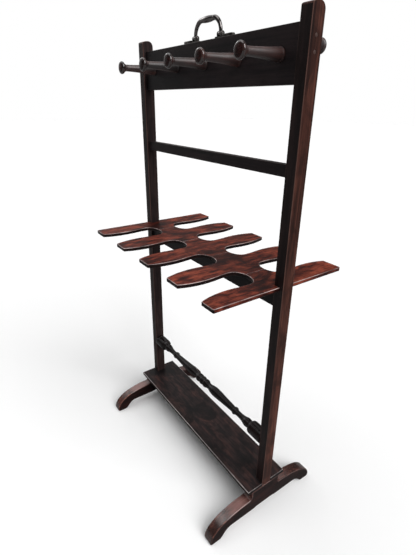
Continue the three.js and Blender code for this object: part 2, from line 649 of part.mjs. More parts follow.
// Feet: flat toe pads, a curved heel, and an arch that rises a little in the middle.
// The rear half is drawn and its turned copy is the front half.
function footHalf() {
  const top = SHELF_BOTTOM - SEAT;
  const coveOuter = FOOT_BLOCK_HALF + FOOT_COVE;
  const middleHold = (FOOT_MIDDLE_Y + FOOT_ARCH_Y) / 2;
  const outline = new THREE.Shape();
  outline.moveTo(-OVERRUN, FOOT_MIDDLE_HEIGHT);
  outline.lineTo(FOOT_MIDDLE_Y, FOOT_MIDDLE_HEIGHT);
  outline.bezierCurveTo(
    middleHold, FOOT_MIDDLE_HEIGHT, middleHold, FOOT_ARCH_HEIGHT, FOOT_ARCH_Y, FOOT_ARCH_HEIGHT,
  );
  outline.lineTo(FOOT_HEEL_Y, FOOT_ARCH_HEIGHT);
  outline.bezierCurveTo(
    FOOT_PAD_INNER - FOOT_HEEL_PULL, FOOT_ARCH_HEIGHT, FOOT_PAD_INNER - FOOT_HEEL_PULL, 0,
    FOOT_PAD_INNER, 0,
  );
  outline.lineTo(FOOT_PAD_OUTER, 0);
  outline.quadraticCurveTo(FOOT_REACH, 0, FOOT_REACH, FOOT_TOE_HEIGHT);
  outline.bezierCurveTo(
    FOOT_REACH, FOOT_TOE_PULL_HEIGHT, FOOT_INSTEP_Y, FOOT_INSTEP_HEIGHT,
    FOOT_SHOULDER_Y, FOOT_SHOULDER_HEIGHT,
  );
  outline.quadraticCurveTo(
    (coveOuter + FOOT_SHOULDER_Y) / 2, FOOT_BACK_HEIGHT, coveOuter, FOOT_BACK_HEIGHT,
  );
  outline.quadraticCurveTo(
    FOOT_BLOCK_HALF, FOOT_BACK_HEIGHT, FOOT_BLOCK_HALF, FOOT_BACK_HEIGHT + FOOT_COVE,
  );
  outline.lineTo(FOOT_BLOCK_HALF, top);
  outline.lineTo(-OVERRUN, top);
  outline.closePath();
  return slab(outline, FOOT_WIDTH, SOFT_ARRIS).applyMatrix4(ALONG_X).translate(-FOOT_WIDTH / 2, 0, 0);
}

function foot(side) {
  const middle = side * FOOT_X;
  const postMiddle = side * (POST_OUTER - POST_WIDTH / 2);
  const half = footHalf();
  const back = solid(half.clone().translate(middle, 0, 0));
  const front = solid(half.rotateZ(Math.PI).translate(middle, 0, 0));
  const socket = block(
    postMiddle - FOOT_TENON_WIDTH / 2 - FIT,
    postMiddle + FOOT_TENON_WIDTH / 2 + FIT,
    -FOOT_TENON_DEPTH / 2 - FIT,
    FOOT_TENON_DEPTH / 2 + FIT,
    SHELF_BOTTOM - FOOT_TENON_LENGTH - FIT,
    SHELF_BOTTOM + OVERRUN,
  );
  return cutAll(front.add(back), [socket, ...shelfDowels(FIT)]);
}

// Turned stretcher, drawn from the middle to one end: three beads, a groove, a long vase,
// a ring, a reel, a bulb and a drum, with a round tenon in the post
function bead(place, half, low, high) {
  const crown = half * BEAD_CROWN_SHARE;
  return [[low, place - half], [high, place - crown], [high, place + crown], [low, place + half]];
}

function stretcherProfile() {
  const vaseSpan = RING_X - VASE_X;
  const shoulder = POST_INNER - FIT;
  const half = [
    [STRETCHER_BEAD_RADIUS, MIDDLE_BEAD_HALF * BEAD_CROWN_SHARE],
    [STRETCHER_CORE_RADIUS, MIDDLE_BEAD_HALF],
    ...bead(MIDDLE_BEAD_PITCH, MIDDLE_BEAD_HALF, STRETCHER_CORE_RADIUS, STRETCHER_BEAD_RADIUS),
    [STRETCHER_GROOVE_RADIUS, GROOVE_X],
    [(STRETCHER_GROOVE_RADIUS + STRETCHER_VASE_RADIUS) / 2, (GROOVE_X + VASE_X) / 2 - VASE_LEAN],
    [STRETCHER_VASE_RADIUS, VASE_X],
    [STRETCHER_VASE_RADIUS, VASE_X + VASE_LEAN],
    [(STRETCHER_VASE_RADIUS + STRETCHER_TAPER_RADIUS) / 2, VASE_X + vaseSpan / 2],
    [STRETCHER_TAPER_RADIUS, RING_X - 2 * RING_HALF],
    ...bead(RING_X, RING_HALF, STRETCHER_TAPER_RADIUS, STRETCHER_RING_RADIUS),
    [STRETCHER_REEL_RADIUS, RING_X + 2 * RING_HALF],
    [STRETCHER_REEL_RADIUS, BULB_X - BULB_HALF - RING_HALF],
    ...bead(BULB_X, BULB_HALF, STRETCHER_TAPER_RADIUS, STRETCHER_BULB_RADIUS),
    [STRETCHER_BULB_RADIUS, DRUM_X],
    [STRETCHER_DRUM_RADIUS - ARRIS, DRUM_X + ARRIS],
    [STRETCHER_DRUM_RADIUS, DRUM_X + RING_HALF],
    [STRETCHER_DRUM_RADIUS, shoulder - ARRIS],
    [STRETCHER_DRUM_RADIUS - ARRIS, shoulder],
    [STRETCHER_TENON_RADIUS, shoulder],
    [STRETCHER_TENON_RADIUS, shoulder + STRETCHER_TENON],
    [0, shoulder + STRETCHER_TENON],
  ];
  return [...half.map(([r, x]) => [r, -x]).reverse(), ...half];
}

// Handle plates: thin between two upright ears, and thick where two screws hold the plate
function platePart(side) {
  const pivotZ = PEG_RAIL_TOP + PIVOT_HEIGHT;
  const plateTop = PEG_RAIL_TOP + PLATE_THICKNESS;
  const half = PLATE_WIDTH / 2;
  const thin = half - PLATE_EDGE;
  const tongue = new THREE.Shape();
  tongue.moveTo(PLATE_INNER_X, -thin);
  tongue.lineTo(PLATE_OUTER_X - half, -thin);
  tongue.lineTo(PLATE_OUTER_X - half, thin);
  tongue.lineTo(PLATE_INNER_X, thin);
  tongue.closePath();
  const boss = new THREE.Shape();
  boss.moveTo(PLATE_BOSS_X, -half);
  boss.lineTo(PLATE_OUTER_X - half, -half);
  boss.absarc(PLATE_OUTER_X - half, 0, half, -Math.PI / 2, Math.PI / 2, false);
  boss.lineTo(PLATE_BOSS_X, half);
  boss.closePath();
  const plates = [
    slab(tongue, PLATE_THICKNESS, PLATE_EDGE),
    slab(boss, PLATE_BOSS_HEIGHT, ARRIS),
  ].map((lie) => {
    lie.translate(0, 0, PEG_RAIL_TOP);
    return solid(side > 0 ? lie : lie.rotateZ(Math.PI));
  });
  const ear = new THREE.Shape();
  ear.moveTo(EAR_RADIUS, plateTop - PLATE_EDGE);
  ear.lineTo(EAR_RADIUS, pivotZ);
  ear.absarc(0, pivotZ, EAR_RADIUS, 0, Math.PI, false);
  ear.lineTo(-EAR_RADIUS, plateTop - PLATE_EDGE);
  ear.closePath();
  const offset = EYE_HALF + EYE_AIR;
  const ears = [BAIL_HALF - offset - EAR_THICKNESS, BAIL_HALF + offset].map((x) => {
    const start = side > 0 ? x : -x - EAR_THICKNESS;
    return slabAlongX(ear, start, start + EAR_THICKNESS, 0);
  });
  const pinHole = rodAlongX(
    PIVOT_RADIUS + FIT, side * BAIL_HALF - PLATE_WIDTH, side * BAIL_HALF + PLATE_WIDTH, 0, pivotZ,
  );
  const screwHoles = [PLATE_SCREW_INNER_X, PLATE_SCREW_OUTER_X].map((x) => turnedUp(
    [
      [0, -PLATE_BOSS_HEIGHT - OVERRUN],
      [PLATE_SCREW_RADIUS + FIT, -PLATE_BOSS_HEIGHT - OVERRUN],
      [PLATE_SCREW_RADIUS + FIT, -PLATE_SCREW_HEAD_HEIGHT],
      [PLATE_SCREW_HEAD_RADIUS + FIT, 0],
      [PLATE_SCREW_HEAD_RADIUS + FIT, OVERRUN],
      [0, OVERRUN],
    ],
    DOWEL_SIDES,
    side * x,
    0,
    PEG_RAIL_TOP + PLATE_BOSS_HEIGHT,
  ));
  return cutAll(joinAll([...plates, ...ears]), [pinHole, ...screwHoles]);
}

function plateScrews() {
  const profile = [
    [0, -PLATE_SCREW_LENGTH],
    [PLATE_SCREW_RADIUS, PLATE_SCREW_TIP - PLATE_SCREW_LENGTH],
    [PLATE_SCREW_RADIUS, -PLATE_SCREW_HEAD_HEIGHT],
    [PLATE_SCREW_HEAD_RADIUS, 0],
    [0, 0],
  ];
  const top = PEG_RAIL_TOP + PLATE_BOSS_HEIGHT;
  const half = SCREW_SLOT_WIDTH / 2;
  const reach = PLATE_SCREW_HEAD_RADIUS + OVERRUN;
  return plateScrewPlaces().map((x) => {
    const slot = block(x - reach, x + reach, -half, half, top - SCREW_SLOT_DEPTH, top + OVERRUN);
    return turnedUp(profile, DOWEL_SIDES, x, 0, top).subtract(slot);
  });
}

// Handle bail, drawn about its pivot line: two eyes with pins, bent legs and a swelled grip
function bail() {
  const at = (x, z) => new THREE.Vector3(x, 0, z);
  const bend = BAIL_RISE - BAIL_LEG;
  const shoulder = BAIL_HALF - BAIL_TOP_HALF;
  const path = new THREE.CurvePath();
  for (const side of [-1, 1]) {
    const foot = at(side * BAIL_HALF, 0);
    const knee = at(side * BAIL_HALF, BAIL_LEG);
    const turn = [
      knee,
      at(side * BAIL_HALF, BAIL_LEG + bend * BEND_SHARE),
      at(side * (BAIL_TOP_HALF + shoulder * (1 - BEND_SHARE)), BAIL_RISE),
      at(side * BAIL_TOP_HALF, BAIL_RISE),
    ];
    if (side < 0) {
      path.add(new THREE.LineCurve3(foot, knee));
      path.add(new THREE.CubicBezierCurve3(...turn));
      path.add(new THREE.LineCurve3(at(-BAIL_TOP_HALF, BAIL_RISE), at(BAIL_TOP_HALF, BAIL_RISE)));
    } else {
      path.add(new THREE.CubicBezierCurve3(...turn.reverse()));
      path.add(new THREE.LineCurve3(knee, foot));
    }
  }
  const section = new THREE.Shape().absarc(0, 0, BAIL_RADIUS, 0, 2 * Math.PI, false);
  const bar = solid(new THREE.ExtrudeGeometry(section, {
    steps: BAIL_STEPS,
    extrudePath: path,
    curveSegments: BAIL_SIDES / 2,
    bevelEnabled: false,
  }));
  const swell = (BAIL_RADIUS + GRIP_RADIUS) / 2;
  const gripProfile = [
    [0, -GRIP_HALF - GRIP_COLLAR],
    [GRIP_COLLAR_RADIUS, -GRIP_HALF - GRIP_COLLAR],
    [GRIP_COLLAR_RADIUS, -GRIP_HALF],
    [BAIL_RADIUS + ARRIS, -GRIP_HALF + ARRIS],
    [swell + ARRIS, -GRIP_HALF / 2],
    [GRIP_RADIUS, 0],
    [swell + ARRIS, GRIP_HALF / 2],
    [BAIL_RADIUS + ARRIS, GRIP_HALF - ARRIS],
    [GRIP_COLLAR_RADIUS, GRIP_HALF],
    [GRIP_COLLAR_RADIUS, GRIP_HALF + GRIP_COLLAR],
    [0, GRIP_HALF + GRIP_COLLAR],
  ];
  const pinHalf = EYE_HALF + EYE_AIR + EAR_THICKNESS;
  const eyes = SIDES.flatMap(([, side]) => {
    const x = side * BAIL_HALF;
    return [
      rodAlongX(EYE_RADIUS, x - EYE_HALF, x + EYE_HALF, 0, 0),
      rodAlongX(PIVOT_RADIUS, x - pinHalf, x + pinHalf, 0, 0),
    ];
  });
  return joinAll([bar, turnedAlongX(gripProfile, GRIP_SIDES, 0, 0, BAIL_RISE), ...eyes]);
}

const rack = new THREE.Group();

function place(name, manifold, material) {
  const mesh = new THREE.Mesh(geometryOf(manifold), material.clone());
  mesh.name = name;
  rack.add(mesh);
  return mesh;
}

function placeAll(name, manifolds, material) {
  manifolds.forEach((manifold, i) => place(`${name}_${i + 1}`, manifold, material));
}

for (const [name, side] of SIDES) {
  place(`${name}_post`, post(side), wood(0x5b3a30, 0.42));
  place(`${name}_foot`, foot(side), wood(0x6a4138, 0.45));
  placeAll(`${name}_rail_dowel`, railDowels(side), wood(0x9a7a66, 0.6));
  place(`handle_plate_${name}`, platePart(side), metal(0x4a4540, 0.34));
}
place('peg_rail', pegRail(), wood(0x3a2825, 0.4));
place(
  'middle_rail',
  tenonedRail(RAIL_THICKNESS, MIDDLE_RAIL_BOTTOM, MIDDLE_RAIL_TOP, TENON_THICKNESS),
  wood(0x3b2926, 0.42),
);
place('boot_bearer_rail', bearerRail(), wood(0x3a2a27, 0.45));
placeAll('boot_arm', bootArms(), wood(0x6b3d33, 0.38));
placeAll('arm_dowel', boardDowels(0), wood(0xa08468, 0.7));
placeAll('arm_screw', armScrews(), metal(0x6d6a64, 0.4));
place('bottom_shelf', bottomShelf(), wood(0x49332f, 0.5));
placeAll('shelf_dowel', shelfDowels(0), wood(0xa08468, 0.7));
place(
  'turned_stretcher',
  turnedAlongX(stretcherProfile(), STRETCHER_SIDES, 0, 0, STRETCHER_Z),
  wood(0x4a332e, 0.36),
);
placeAll('front_peg', frontPegs.map(frontPeg), wood(0x4d3430, 0.3));
placeAll('back_peg', backPegs.map(backPeg), wood(0x4d3430, 0.3));
placeAll('handle_screw', plateScrews(), metal(0x57514a, 0.35));
place('handle_bail', bail(), metal(0x55504b, 0.25)).position.set(0, 0, PEG_RAIL_TOP + PIVOT_HEIGHT);

export default rack;
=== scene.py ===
import json
import math

import bmesh
import bpy
from mathutils import Matrix, Vector


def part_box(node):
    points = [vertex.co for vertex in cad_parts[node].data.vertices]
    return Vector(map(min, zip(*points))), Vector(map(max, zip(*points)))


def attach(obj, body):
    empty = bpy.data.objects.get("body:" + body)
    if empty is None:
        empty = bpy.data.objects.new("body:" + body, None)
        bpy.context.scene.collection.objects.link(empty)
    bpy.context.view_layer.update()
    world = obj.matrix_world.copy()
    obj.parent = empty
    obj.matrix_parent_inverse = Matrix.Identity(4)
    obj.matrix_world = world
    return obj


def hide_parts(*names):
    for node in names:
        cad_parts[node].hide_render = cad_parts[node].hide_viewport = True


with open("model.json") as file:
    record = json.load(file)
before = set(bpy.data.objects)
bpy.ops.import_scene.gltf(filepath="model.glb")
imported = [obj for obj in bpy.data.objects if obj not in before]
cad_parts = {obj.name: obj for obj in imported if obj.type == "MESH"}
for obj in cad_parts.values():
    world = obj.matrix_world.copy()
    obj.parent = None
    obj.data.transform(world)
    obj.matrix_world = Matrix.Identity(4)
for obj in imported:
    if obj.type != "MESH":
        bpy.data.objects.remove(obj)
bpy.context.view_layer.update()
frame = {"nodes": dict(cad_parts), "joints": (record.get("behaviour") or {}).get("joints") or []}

# Camera: its place, its angles in degrees, the sensor's longer side in millimetres, and the
# focal length and the picture's height in pixels
CAMERA_PLACE = (0.9188, -0.6509, 1.2056)
HEADING, TILT, LEAN = 54.112, 24.26, 0.985
SENSOR, FOCAL_LENGTH, PICTURE_HEIGHT = 36, 383.1, 555

# Floor: how pale it looks, how much light it sends back, and the share of its paleness that
# shows in a mirroring surface
FLOOR_TONE, FLOOR_BOUNCE, FLOOR_MIRRORED = 0.97, 0.28, 0.12

# Lamps: their strength, and how wide they are in degrees
SUN, SUN_ANGLE = 2.8, 46
ACCENT, ACCENT_ANGLE = 0.2, 14

# Room: its light all round, overhead and on the right, and the bright patches that only
# mirroring surfaces meet, as (direction, cosines at the edge and at full strength, strength)
AMBIENT, OVERHEAD, SIDE = 0.09, 2.0, 0.12
MIRRORED_PATCHES = (
    ((-0.6, 0.3, 0.68), 0.87, 0.97, 1.0),
    ((-0.9, -0.1, 0.4), 0.86, 0.95, 1.0),
    ((0.55, 0.65, 0.5), 0.84, 0.97, 0.7),
)

# Sockets of a Mix node for colours and for numbers: the two inputs and the result
COLOR_A, COLOR_B, COLOR_RESULT = 6, 7, 2
NUMBER_A, NUMBER_B, NUMBER_RESULT = 2, 3, 0

# Material slots of a wooden piece, and of a peg's head
# In a wooden piece the second slot holds paler eased edges, partly wear and partly painted
# highlight, and the third a darker copy of the wood, painted shade on faces turned from the light
PLAIN, ARRIS, SHADED_SLOT = 0, 1, 2
PEG_RIM, PEG_FACE = 1, 2

# Tolerances, in metres
TOUCH = 1e-5  # two places this close are one
HAIR = 1e-4  # for an outline's ends, whose last points differ by less than this

ARM_PITCH = 0.156  # from arm to arm, and so the width of a board
AIR = 0.0003  # between a post and the pieces beside it
NOTCH_HALF, NOTCH_END = 0.0178, 0.01785  # notches for the posts in the end arms and the shelf

post_low, post_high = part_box("right_post")
inner = post_low.x - AIR
rail_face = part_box("peg_rail")[1].y
pivot = frame["joints"][0]["pos_m"]


# Camera: the photograph's place, heading, tilt and lens
def place_camera():
    heading, tilt, lean = (math.radians(angle) for angle in (HEADING, TILT, LEAN))
    ahead = Vector((
        -math.sin(heading) * math.cos(tilt),
        math.cos(heading) * math.cos(tilt),
        -math.sin(tilt),
    ))
    level = ahead.cross(Vector((0, 0, 1))).normalized()
    upright = level.cross(ahead)
    right = level * math.cos(lean) + upright * math.sin(lean)
    up = upright * math.cos(lean) - level * math.sin(lean)
    view = bpy.data.cameras.new("view")
    view.sensor_width = SENSOR
    view.lens = SENSOR * FOCAL_LENGTH / PICTURE_HEIGHT
    view.clip_start = 0.02
    camera = bpy.data.objects.new("view", view)
    axes = Matrix((right, up, -ahead)).transposed().to_4x4()
    camera.matrix_world = Matrix.Translation(CAMERA_PLACE) @ axes
    bpy.context.scene.collection.objects.link(camera)
    bpy.context.scene.camera = camera


# Materials
def tone(red, green, blue):
    def linear(share):
        return share / 12.92 if share <= 0.04045 else ((share + 0.055) / 1.055) ** 2.4
    return (linear(red / 255), linear(green / 255), linear(blue / 255), 1)


# The second tone is the pale colour of a painted highlight
PORE_TONE, HIGHLIGHT_TONE, DUST_TONE = tone(14, 9, 8), tone(154, 114, 108), tone(92, 80, 76)
END_PORE_TONE, SPECK_TONE = tone(34, 22, 18), tone(40, 36, 33)


def join(tree, value, socket):
    """Links a node's output to a socket, or sets the socket to a plain value."""
    if isinstance(value, bpy.types.NodeSocket):
        tree.links.new(value, socket)
    else:
        socket.default_value = value


class Finish:
    """A material's nodes, laid in the order that a finish is built up."""

    def __init__(self, name):
        self.material = bpy.data.materials.new(name)
        self.material.use_nodes = True
        self.tree = self.material.node_tree
        self.shader = self.tree.nodes["Principled BSDF"]
        self.place = self.tree.nodes.new("ShaderNodeTexCoord").outputs["Object"]

    def join(self, value, socket):
        join(self.tree, value, socket)

    def noise(self, across, along, axis=None, detail=4, rough=0.5, twist=0.0, shift=0.0):
        """Cloudy pattern, across and along times a metre; streaks lie along the axis."""
        mapping = self.tree.nodes.new("ShaderNodeMapping")
        stretch = [across] * 3
        if axis is not None:
            stretch["XYZ".index(axis)] = along
        mapping.inputs["Scale"].default_value = stretch
        mapping.inputs["Location"].default_value = (shift, shift * 0.7, shift * 1.3)
        self.join(self.place, mapping.inputs["Vector"])
        noise = self.tree.nodes.new("ShaderNodeTexNoise")
        noise.inputs["Scale"].default_value = 1
        noise.inputs["Detail"].default_value = detail
        noise.inputs["Roughness"].default_value = rough
        noise.inputs["Distortion"].default_value = twist
        self.join(mapping.outputs["Vector"], noise.inputs["Vector"])
        return noise.outputs["Fac"]

    def spread(self, value, low, high, start=0.0, end=1.0):
        """value from low to high, stretched to start to end with soft ends."""
        node = self.tree.nodes.new("ShaderNodeMapRange")
        node.interpolation_type = "SMOOTHSTEP"
        self.join(value, node.inputs["Value"])
        node.inputs["From Min"].default_value = low
        node.inputs["From Max"].default_value = high
        node.inputs["To Min"].default_value = start
        node.inputs["To Max"].default_value = end
        return node.outputs["Result"]

    def sum(self, *weighted):
        """Sum of (value, weight) pairs."""
        total = 0.0
        for value, weight in weighted:
            node = self.tree.nodes.new("ShaderNodeMath")
            node.operation = "MULTIPLY_ADD"
            self.join(value, node.inputs[0])
            node.inputs[1].default_value = weight
            self.join(total, node.inputs[2])
            total = node.outputs[0]
        return total

    def along(self, axis):
        node = self.tree.nodes.new("ShaderNodeSeparateXYZ")
        self.join(self.place, node.inputs[0])
        return node.outputs[axis]

    def by_board(self, width):
        """Starts the figure of the wood anew on each board; boards lie side by side along X."""
        board = self.tree.nodes.new("ShaderNodeMath")
        board.operation = "ROUND"
        self.join(self.sum((self.along("X"), 1 / width)), board.inputs[0])
        shift = self.tree.nodes.new("ShaderNodeCombineXYZ")
        self.join(self.sum((board.outputs[0], 7.3)), shift.inputs["Z"])
        moved = self.tree.nodes.new("ShaderNodeVectorMath")
        self.join(self.place, moved.inputs[0])
        self.join(shift.outputs[0], moved.inputs[1])
        self.place = moved.outputs[0]

    def away_from(self, axis, place, near, far):
        """Nought within near of a place on the axis, and one beyond far."""
        offset = self.tree.nodes.new("ShaderNodeMath")
        offset.operation = "ABSOLUTE"
        self.join(self.sum((self.along(axis), 1.0), (-place, 1.0)), offset.inputs[0])
        return self.spread(offset.outputs[0], near, far)

    def ramp(self, value, stops):
        node = self.tree.nodes.new("ShaderNodeValToRGB")
        node.color_ramp.interpolation = "B_SPLINE"
        elements = node.color_ramp.elements
        while len(elements) < len(stops):
            elements.new(0.5)
        for element, (position, color) in zip(elements, stops):
            element.position = position
            element.color = color
        self.join(value, node.inputs["Fac"])
        return node.outputs["Color"]

    def cover(self, share, under, over):
        node = self.tree.nodes.new("ShaderNodeMix")
        node.data_type = "RGBA"
        self.join(share, node.inputs[0])
        self.join(under, node.inputs[COLOR_A])
        self.join(over, node.inputs[COLOR_B])
        return node.outputs[COLOR_RESULT]

    def relief(self, height, strength, depth):
        node = self.tree.nodes.new("ShaderNodeBump")
        node.inputs["Strength"].default_value = strength
        node.inputs["Distance"].default_value = depth
        self.join(height, node.inputs["Height"])
        self.join(node.outputs["Normal"], self.shader.inputs["Normal"])

    def set(self, **values):
        for name, value in values.items():
            self.join(value, self.shader.inputs[name.replace("_", " ")])
        return self.material


def mahogany(
        name, axis, deep, middle, warm, gloss, dust=0.0, mottle=0.35, rings=None, shift=0.0,
        board=None, dark_middle=None, sheen=0.16, bold=1.0, figured=(11, 1.8), streaked=(85, 3.2),
        highlight_at=None):
    """Old polished mahogany with its grain along the axis, and its figure in three tones.

    board: the width of the boards, where the figure starts anew on each.
    dark_middle: how far from Y = 0 the darkening towards the middle starts to fade, and where it
    ends.
    highlight_at: the place along Y of a painted highlight, pale and patchy, and the same two
    distances from it.
    """
    wood = Finish(name)
    spine = wood.away_from("Y", 0, *dark_middle) if dark_middle else None
    if board:
        wood.by_board(board)
    figure = wood.noise(*figured, axis, detail=4, twist=0.8, shift=shift)
    streaks = wood.noise(*streaked, axis, detail=5, rough=0.62, twist=0.35, shift=shift + 3)
    fibres = wood.noise(620, 16, axis, detail=3, rough=0.6, shift=shift + 7)
    pores = wood.spread(wood.noise(1500, 95, axis, detail=2, shift=shift + 11), 0.62, 0.72)
    grain = wood.sum(
        (figure, 0.7 * bold), (streaks, 0.6 * bold), (fibres, 0.24 * bold),
        (0.5 - 0.77 * bold, 1.0))
    color = wood.ramp(grain, [(0.3, deep), (0.5, middle), (0.72, warm)])
    stain = wood.noise(13, 9, axis, detail=6, rough=0.68, twist=0.8, shift=shift + 17)
    shade = wood.spread(stain, 0.46, 0.62, 0.0, mottle)
    color = wood.cover(shade, color, deep)
    if spine:
        shaded = wood.sum((spine, -0.4), (stain, 1.7), (streaks, 0.5), (-0.55, 1.0))
        color = wood.cover(wood.spread(shaded, 0.25, 0.75, 0.0, 0.85), color, deep)
    rubbed = wood.noise(23, 8, axis, detail=4, rough=0.6, shift=shift + 23)
    color = wood.cover(wood.spread(rubbed, 0.56, 0.8, 0.0, 0.3), color, warm)
    # Painted highlight: a pale patch round a place along Y, broken up by the rubbed and streaked
    # figure
    if highlight_at:
        beyond_highlight = wood.away_from("Y", *highlight_at)
        thin = wood.sum((beyond_highlight, -0.9), (rubbed, 0.8), (streaks, 1.0), (-0.3, 1.0))
        color = wood.cover(wood.spread(thin, -0.3, 0.8, 0.0, 0.68), color, HIGHLIGHT_TONE)
    color = wood.cover(wood.sum((pores, 0.5)), color, PORE_TONE)
    if dust:
        grey = wood.spread(wood.noise(34, 34, detail=6, rough=0.66, shift=shift + 29), 0.45, 0.75)
        color = wood.cover(wood.sum((grey, dust)), color, DUST_TONE)
    rough = wood.sum((streaks, 0.16), (rubbed, -0.14), (pores, 0.15), (gloss, 1.0))
    height = wood.sum((fibres, 0.5), (pores, -0.8), (streaks, 0.5))
    if rings:
        cuts = wood.noise(0, rings, axis, detail=3, rough=0.7, shift=shift + 31)
        height = wood.sum((height, 0.6), (cuts, 0.9))
    wood.relief(height, 0.3, 0.00035)
    return wood.set(Base_Color=color, Roughness=rough, Specular_IOR_Level=sheen)


def end_grain(name, deep, warm):
    """Cut end of a dowel or rail: short dots of open pores."""
    wood = Finish(name)
    dots = wood.spread(wood.noise(1400, 1400, detail=2, shift=5), 0.55, 0.7)
    cloud = wood.noise(160, 160, detail=4, shift=9)
    color = wood.ramp(cloud, [(0.3, deep), (0.7, warm)])
    color = wood.cover(wood.sum((dots, 0.55)), color, END_PORE_TONE)
    wood.relief(wood.sum((dots, -1.0), (cloud, 0.5)), 0.35, 0.0003)
    return wood.set(Base_Color=color, Roughness=wood.sum((cloud, 0.2), (0.5, 1.0)))


def old_metal(name, dark, bright, gloss, shift=0.0):
    """Polished metal that has darkened in its hollows and dulled where it is held."""
    metal = Finish(name)
    cloud = metal.noise(70, 70, detail=5, rough=0.6, twist=0.3, shift=shift)
    specks = metal.spread(metal.noise(900, 900, detail=3, shift=shift + 5), 0.6, 0.74)
    lines = metal.noise(1300, 60, "X", detail=2, shift=shift + 9)
    color = metal.ramp(cloud, [(0.32, dark), (0.66, bright)])
    color = metal.cover(metal.sum((specks, 0.4)), color, SPECK_TONE)
    rough = metal.sum((cloud, 0.12), (specks, 0.16), (lines, 0.08), (gloss, 1.0))
    metal.relief(metal.sum((lines, 0.4), (specks, -0.7)), 0.16, 0.0002)
    return metal.set(Base_Color=color, Roughness=rough, Metallic=1.0)


def dull_steel(name):
    steel = Finish(name)
    rust = steel.noise(260, 260, detail=5, rough=0.65, shift=2)
    color = steel.ramp(rust, [(0.4, tone(112, 108, 102)), (0.7, tone(70, 52, 42))])
    steel.relief(rust, 0.2, 0.0002)
    return steel.set(Base_Color=color, Roughness=steel.sum((rust, 0.4), (0.2, 1.0)), Metallic=0.9)


post_wood = mahogany(
    "post_mahogany", "Z", tone(27, 15, 13), tone(71, 41, 34), tone(105, 64, 53), 0.42,
    mottle=0.55, shift=1, figured=(26, 2.4), streaked=(170, 8), sheen=0.1, bold=1.2)
# Painted shade: a darker copy of the posts' wood, for their fronts and inner sides
post_shaded_wood = mahogany(
    "post_shaded_mahogany", "Z", tone(24, 19, 19), tone(43, 33, 33), tone(68, 51, 49), 0.42,
    shift=1.5, sheen=0.12, streaked=(150, 8), bold=1.2)
rail_wood = mahogany(
    "rail_mahogany", "X", tone(23, 21, 22), tone(39, 34, 36), tone(58, 48, 49), 0.45, shift=2,
    sheen=0.1, bold=1.2)
arm_wood = mahogany(
    "arm_mahogany", "Y", tone(26, 10, 9), tone(96, 40, 31), tone(150, 74, 54), 0.38,
    mottle=0.4, shift=3, board=ARM_PITCH, dark_middle=(0.02, 0.13), bold=1.7,
    figured=(46, 15), streaked=(260, 30), sheen=0.08)
# Painted shade: a darker copy of the arms' wood, for their sides and undersides
arm_shaded_wood = mahogany(
    "arm_shaded_mahogany", "Y", tone(14, 10, 10), tone(26, 16, 15), tone(48, 28, 25), 0.4,
    shift=3.5, sheen=0.1)
shelf_wood = mahogany(
    "shelf_mahogany", "X", tone(20, 18, 19), tone(40, 33, 34), tone(76, 52, 48), 0.36,
    dust=0.06, mottle=0.85, shift=4, bold=1.1, figured=(22, 12), streaked=(120, 14), sheen=0.12)
# Painted shade: a darker copy of the shelf's wood, for its sides and underside
shelf_shaded_wood = mahogany(
    "shelf_shaded_mahogany", "X", tone(10, 8, 8), tone(22, 16, 16), tone(44, 28, 26), 0.4,
    shift=4.5, sheen=0.1)
# Painted highlight: the feet's tops are paler round y = -0.105, on the front instep
foot_wood = mahogany(
    "foot_mahogany", "Y", tone(26, 14, 12), tone(66, 37, 33), tone(114, 68, 58), 0.22,
    mottle=0.6, shift=5, highlight_at=(-0.105, 0.01, 0.06), sheen=0.9, figured=(24, 6), streaked=(130, 10))
# Painted shade: a darker copy of the feet's wood, for their flat sides
foot_shaded_wood = mahogany(
    "foot_shaded_mahogany", "Y", tone(14, 9, 9), tone(30, 17, 16), tone(58, 31, 27), 0.42,
    mottle=0.6, shift=5.5, figured=(24, 6), streaked=(130, 10), sheen=0.1)
turned_wood = mahogany(
    "turned_mahogany", "X", tone(12, 9, 9), tone(20, 14, 14), tone(38, 27, 25), 0.24,
    rings=900, shift=6, sheen=0.25)
peg_wood = mahogany(
    "peg_mahogany", "Y", tone(14, 9, 9), tone(34, 18, 17), tone(84, 44, 38), 0.46,
    rings=900, shift=7, sheen=1.0, bold=1.4)
peg_rim_wood = mahogany(
    "peg_rim_mahogany", "Y", tone(14, 9, 9), tone(34, 19, 18), tone(80, 46, 40), 0.14,
    shift=7.3, sheen=0.9, bold=1.4)
peg_face_wood = mahogany(
    "peg_face_mahogany", "X", tone(16, 9, 9), tone(40, 21, 20), tone(74, 40, 36), 0.24,
    shift=7.5, sheen=0.12, figured=(60, 30), streaked=(300, 90))
# Pale eased edges, partly wear and partly painted highlight
post_arris = mahogany(
    "post_arris", "Z", tone(54, 36, 32), tone(88, 62, 56), tone(128, 96, 88), 0.34, shift=8)
rail_arris = mahogany(
    "rail_arris", "X", tone(26, 19, 18), tone(46, 34, 32), tone(74, 56, 52), 0.34, shift=9)
arm_arris = mahogany(
    "arm_arris", "Y", tone(64, 42, 40), tone(150, 122, 118), tone(214, 192, 188), 0.24,
    mottle=0.6, shift=10, bold=1.3, figured=(30, 9), streaked=(160, 30), sheen=0.8)
shelf_arris = mahogany(
    "shelf_arris", "X", tone(80, 72, 72), tone(170, 160, 158), tone(222, 214, 210), 0.24,
    mottle=0.5, shift=11, sheen=0.8)
foot_arris = mahogany(
    "foot_arris", "Y", tone(34, 20, 18), tone(74, 44, 38), tone(168, 108, 92), 0.28,
    mottle=0.75, shift=12, sheen=0.4, bold=1.4, figured=(30, 12), streaked=(110, 24))
dowel_wood = end_grain("dowel_wood", tone(48, 29, 25), tone(80, 51, 43))
handle_metal = old_metal("handle_metal", tone(84, 80, 79), tone(122, 118, 117), 0.05)
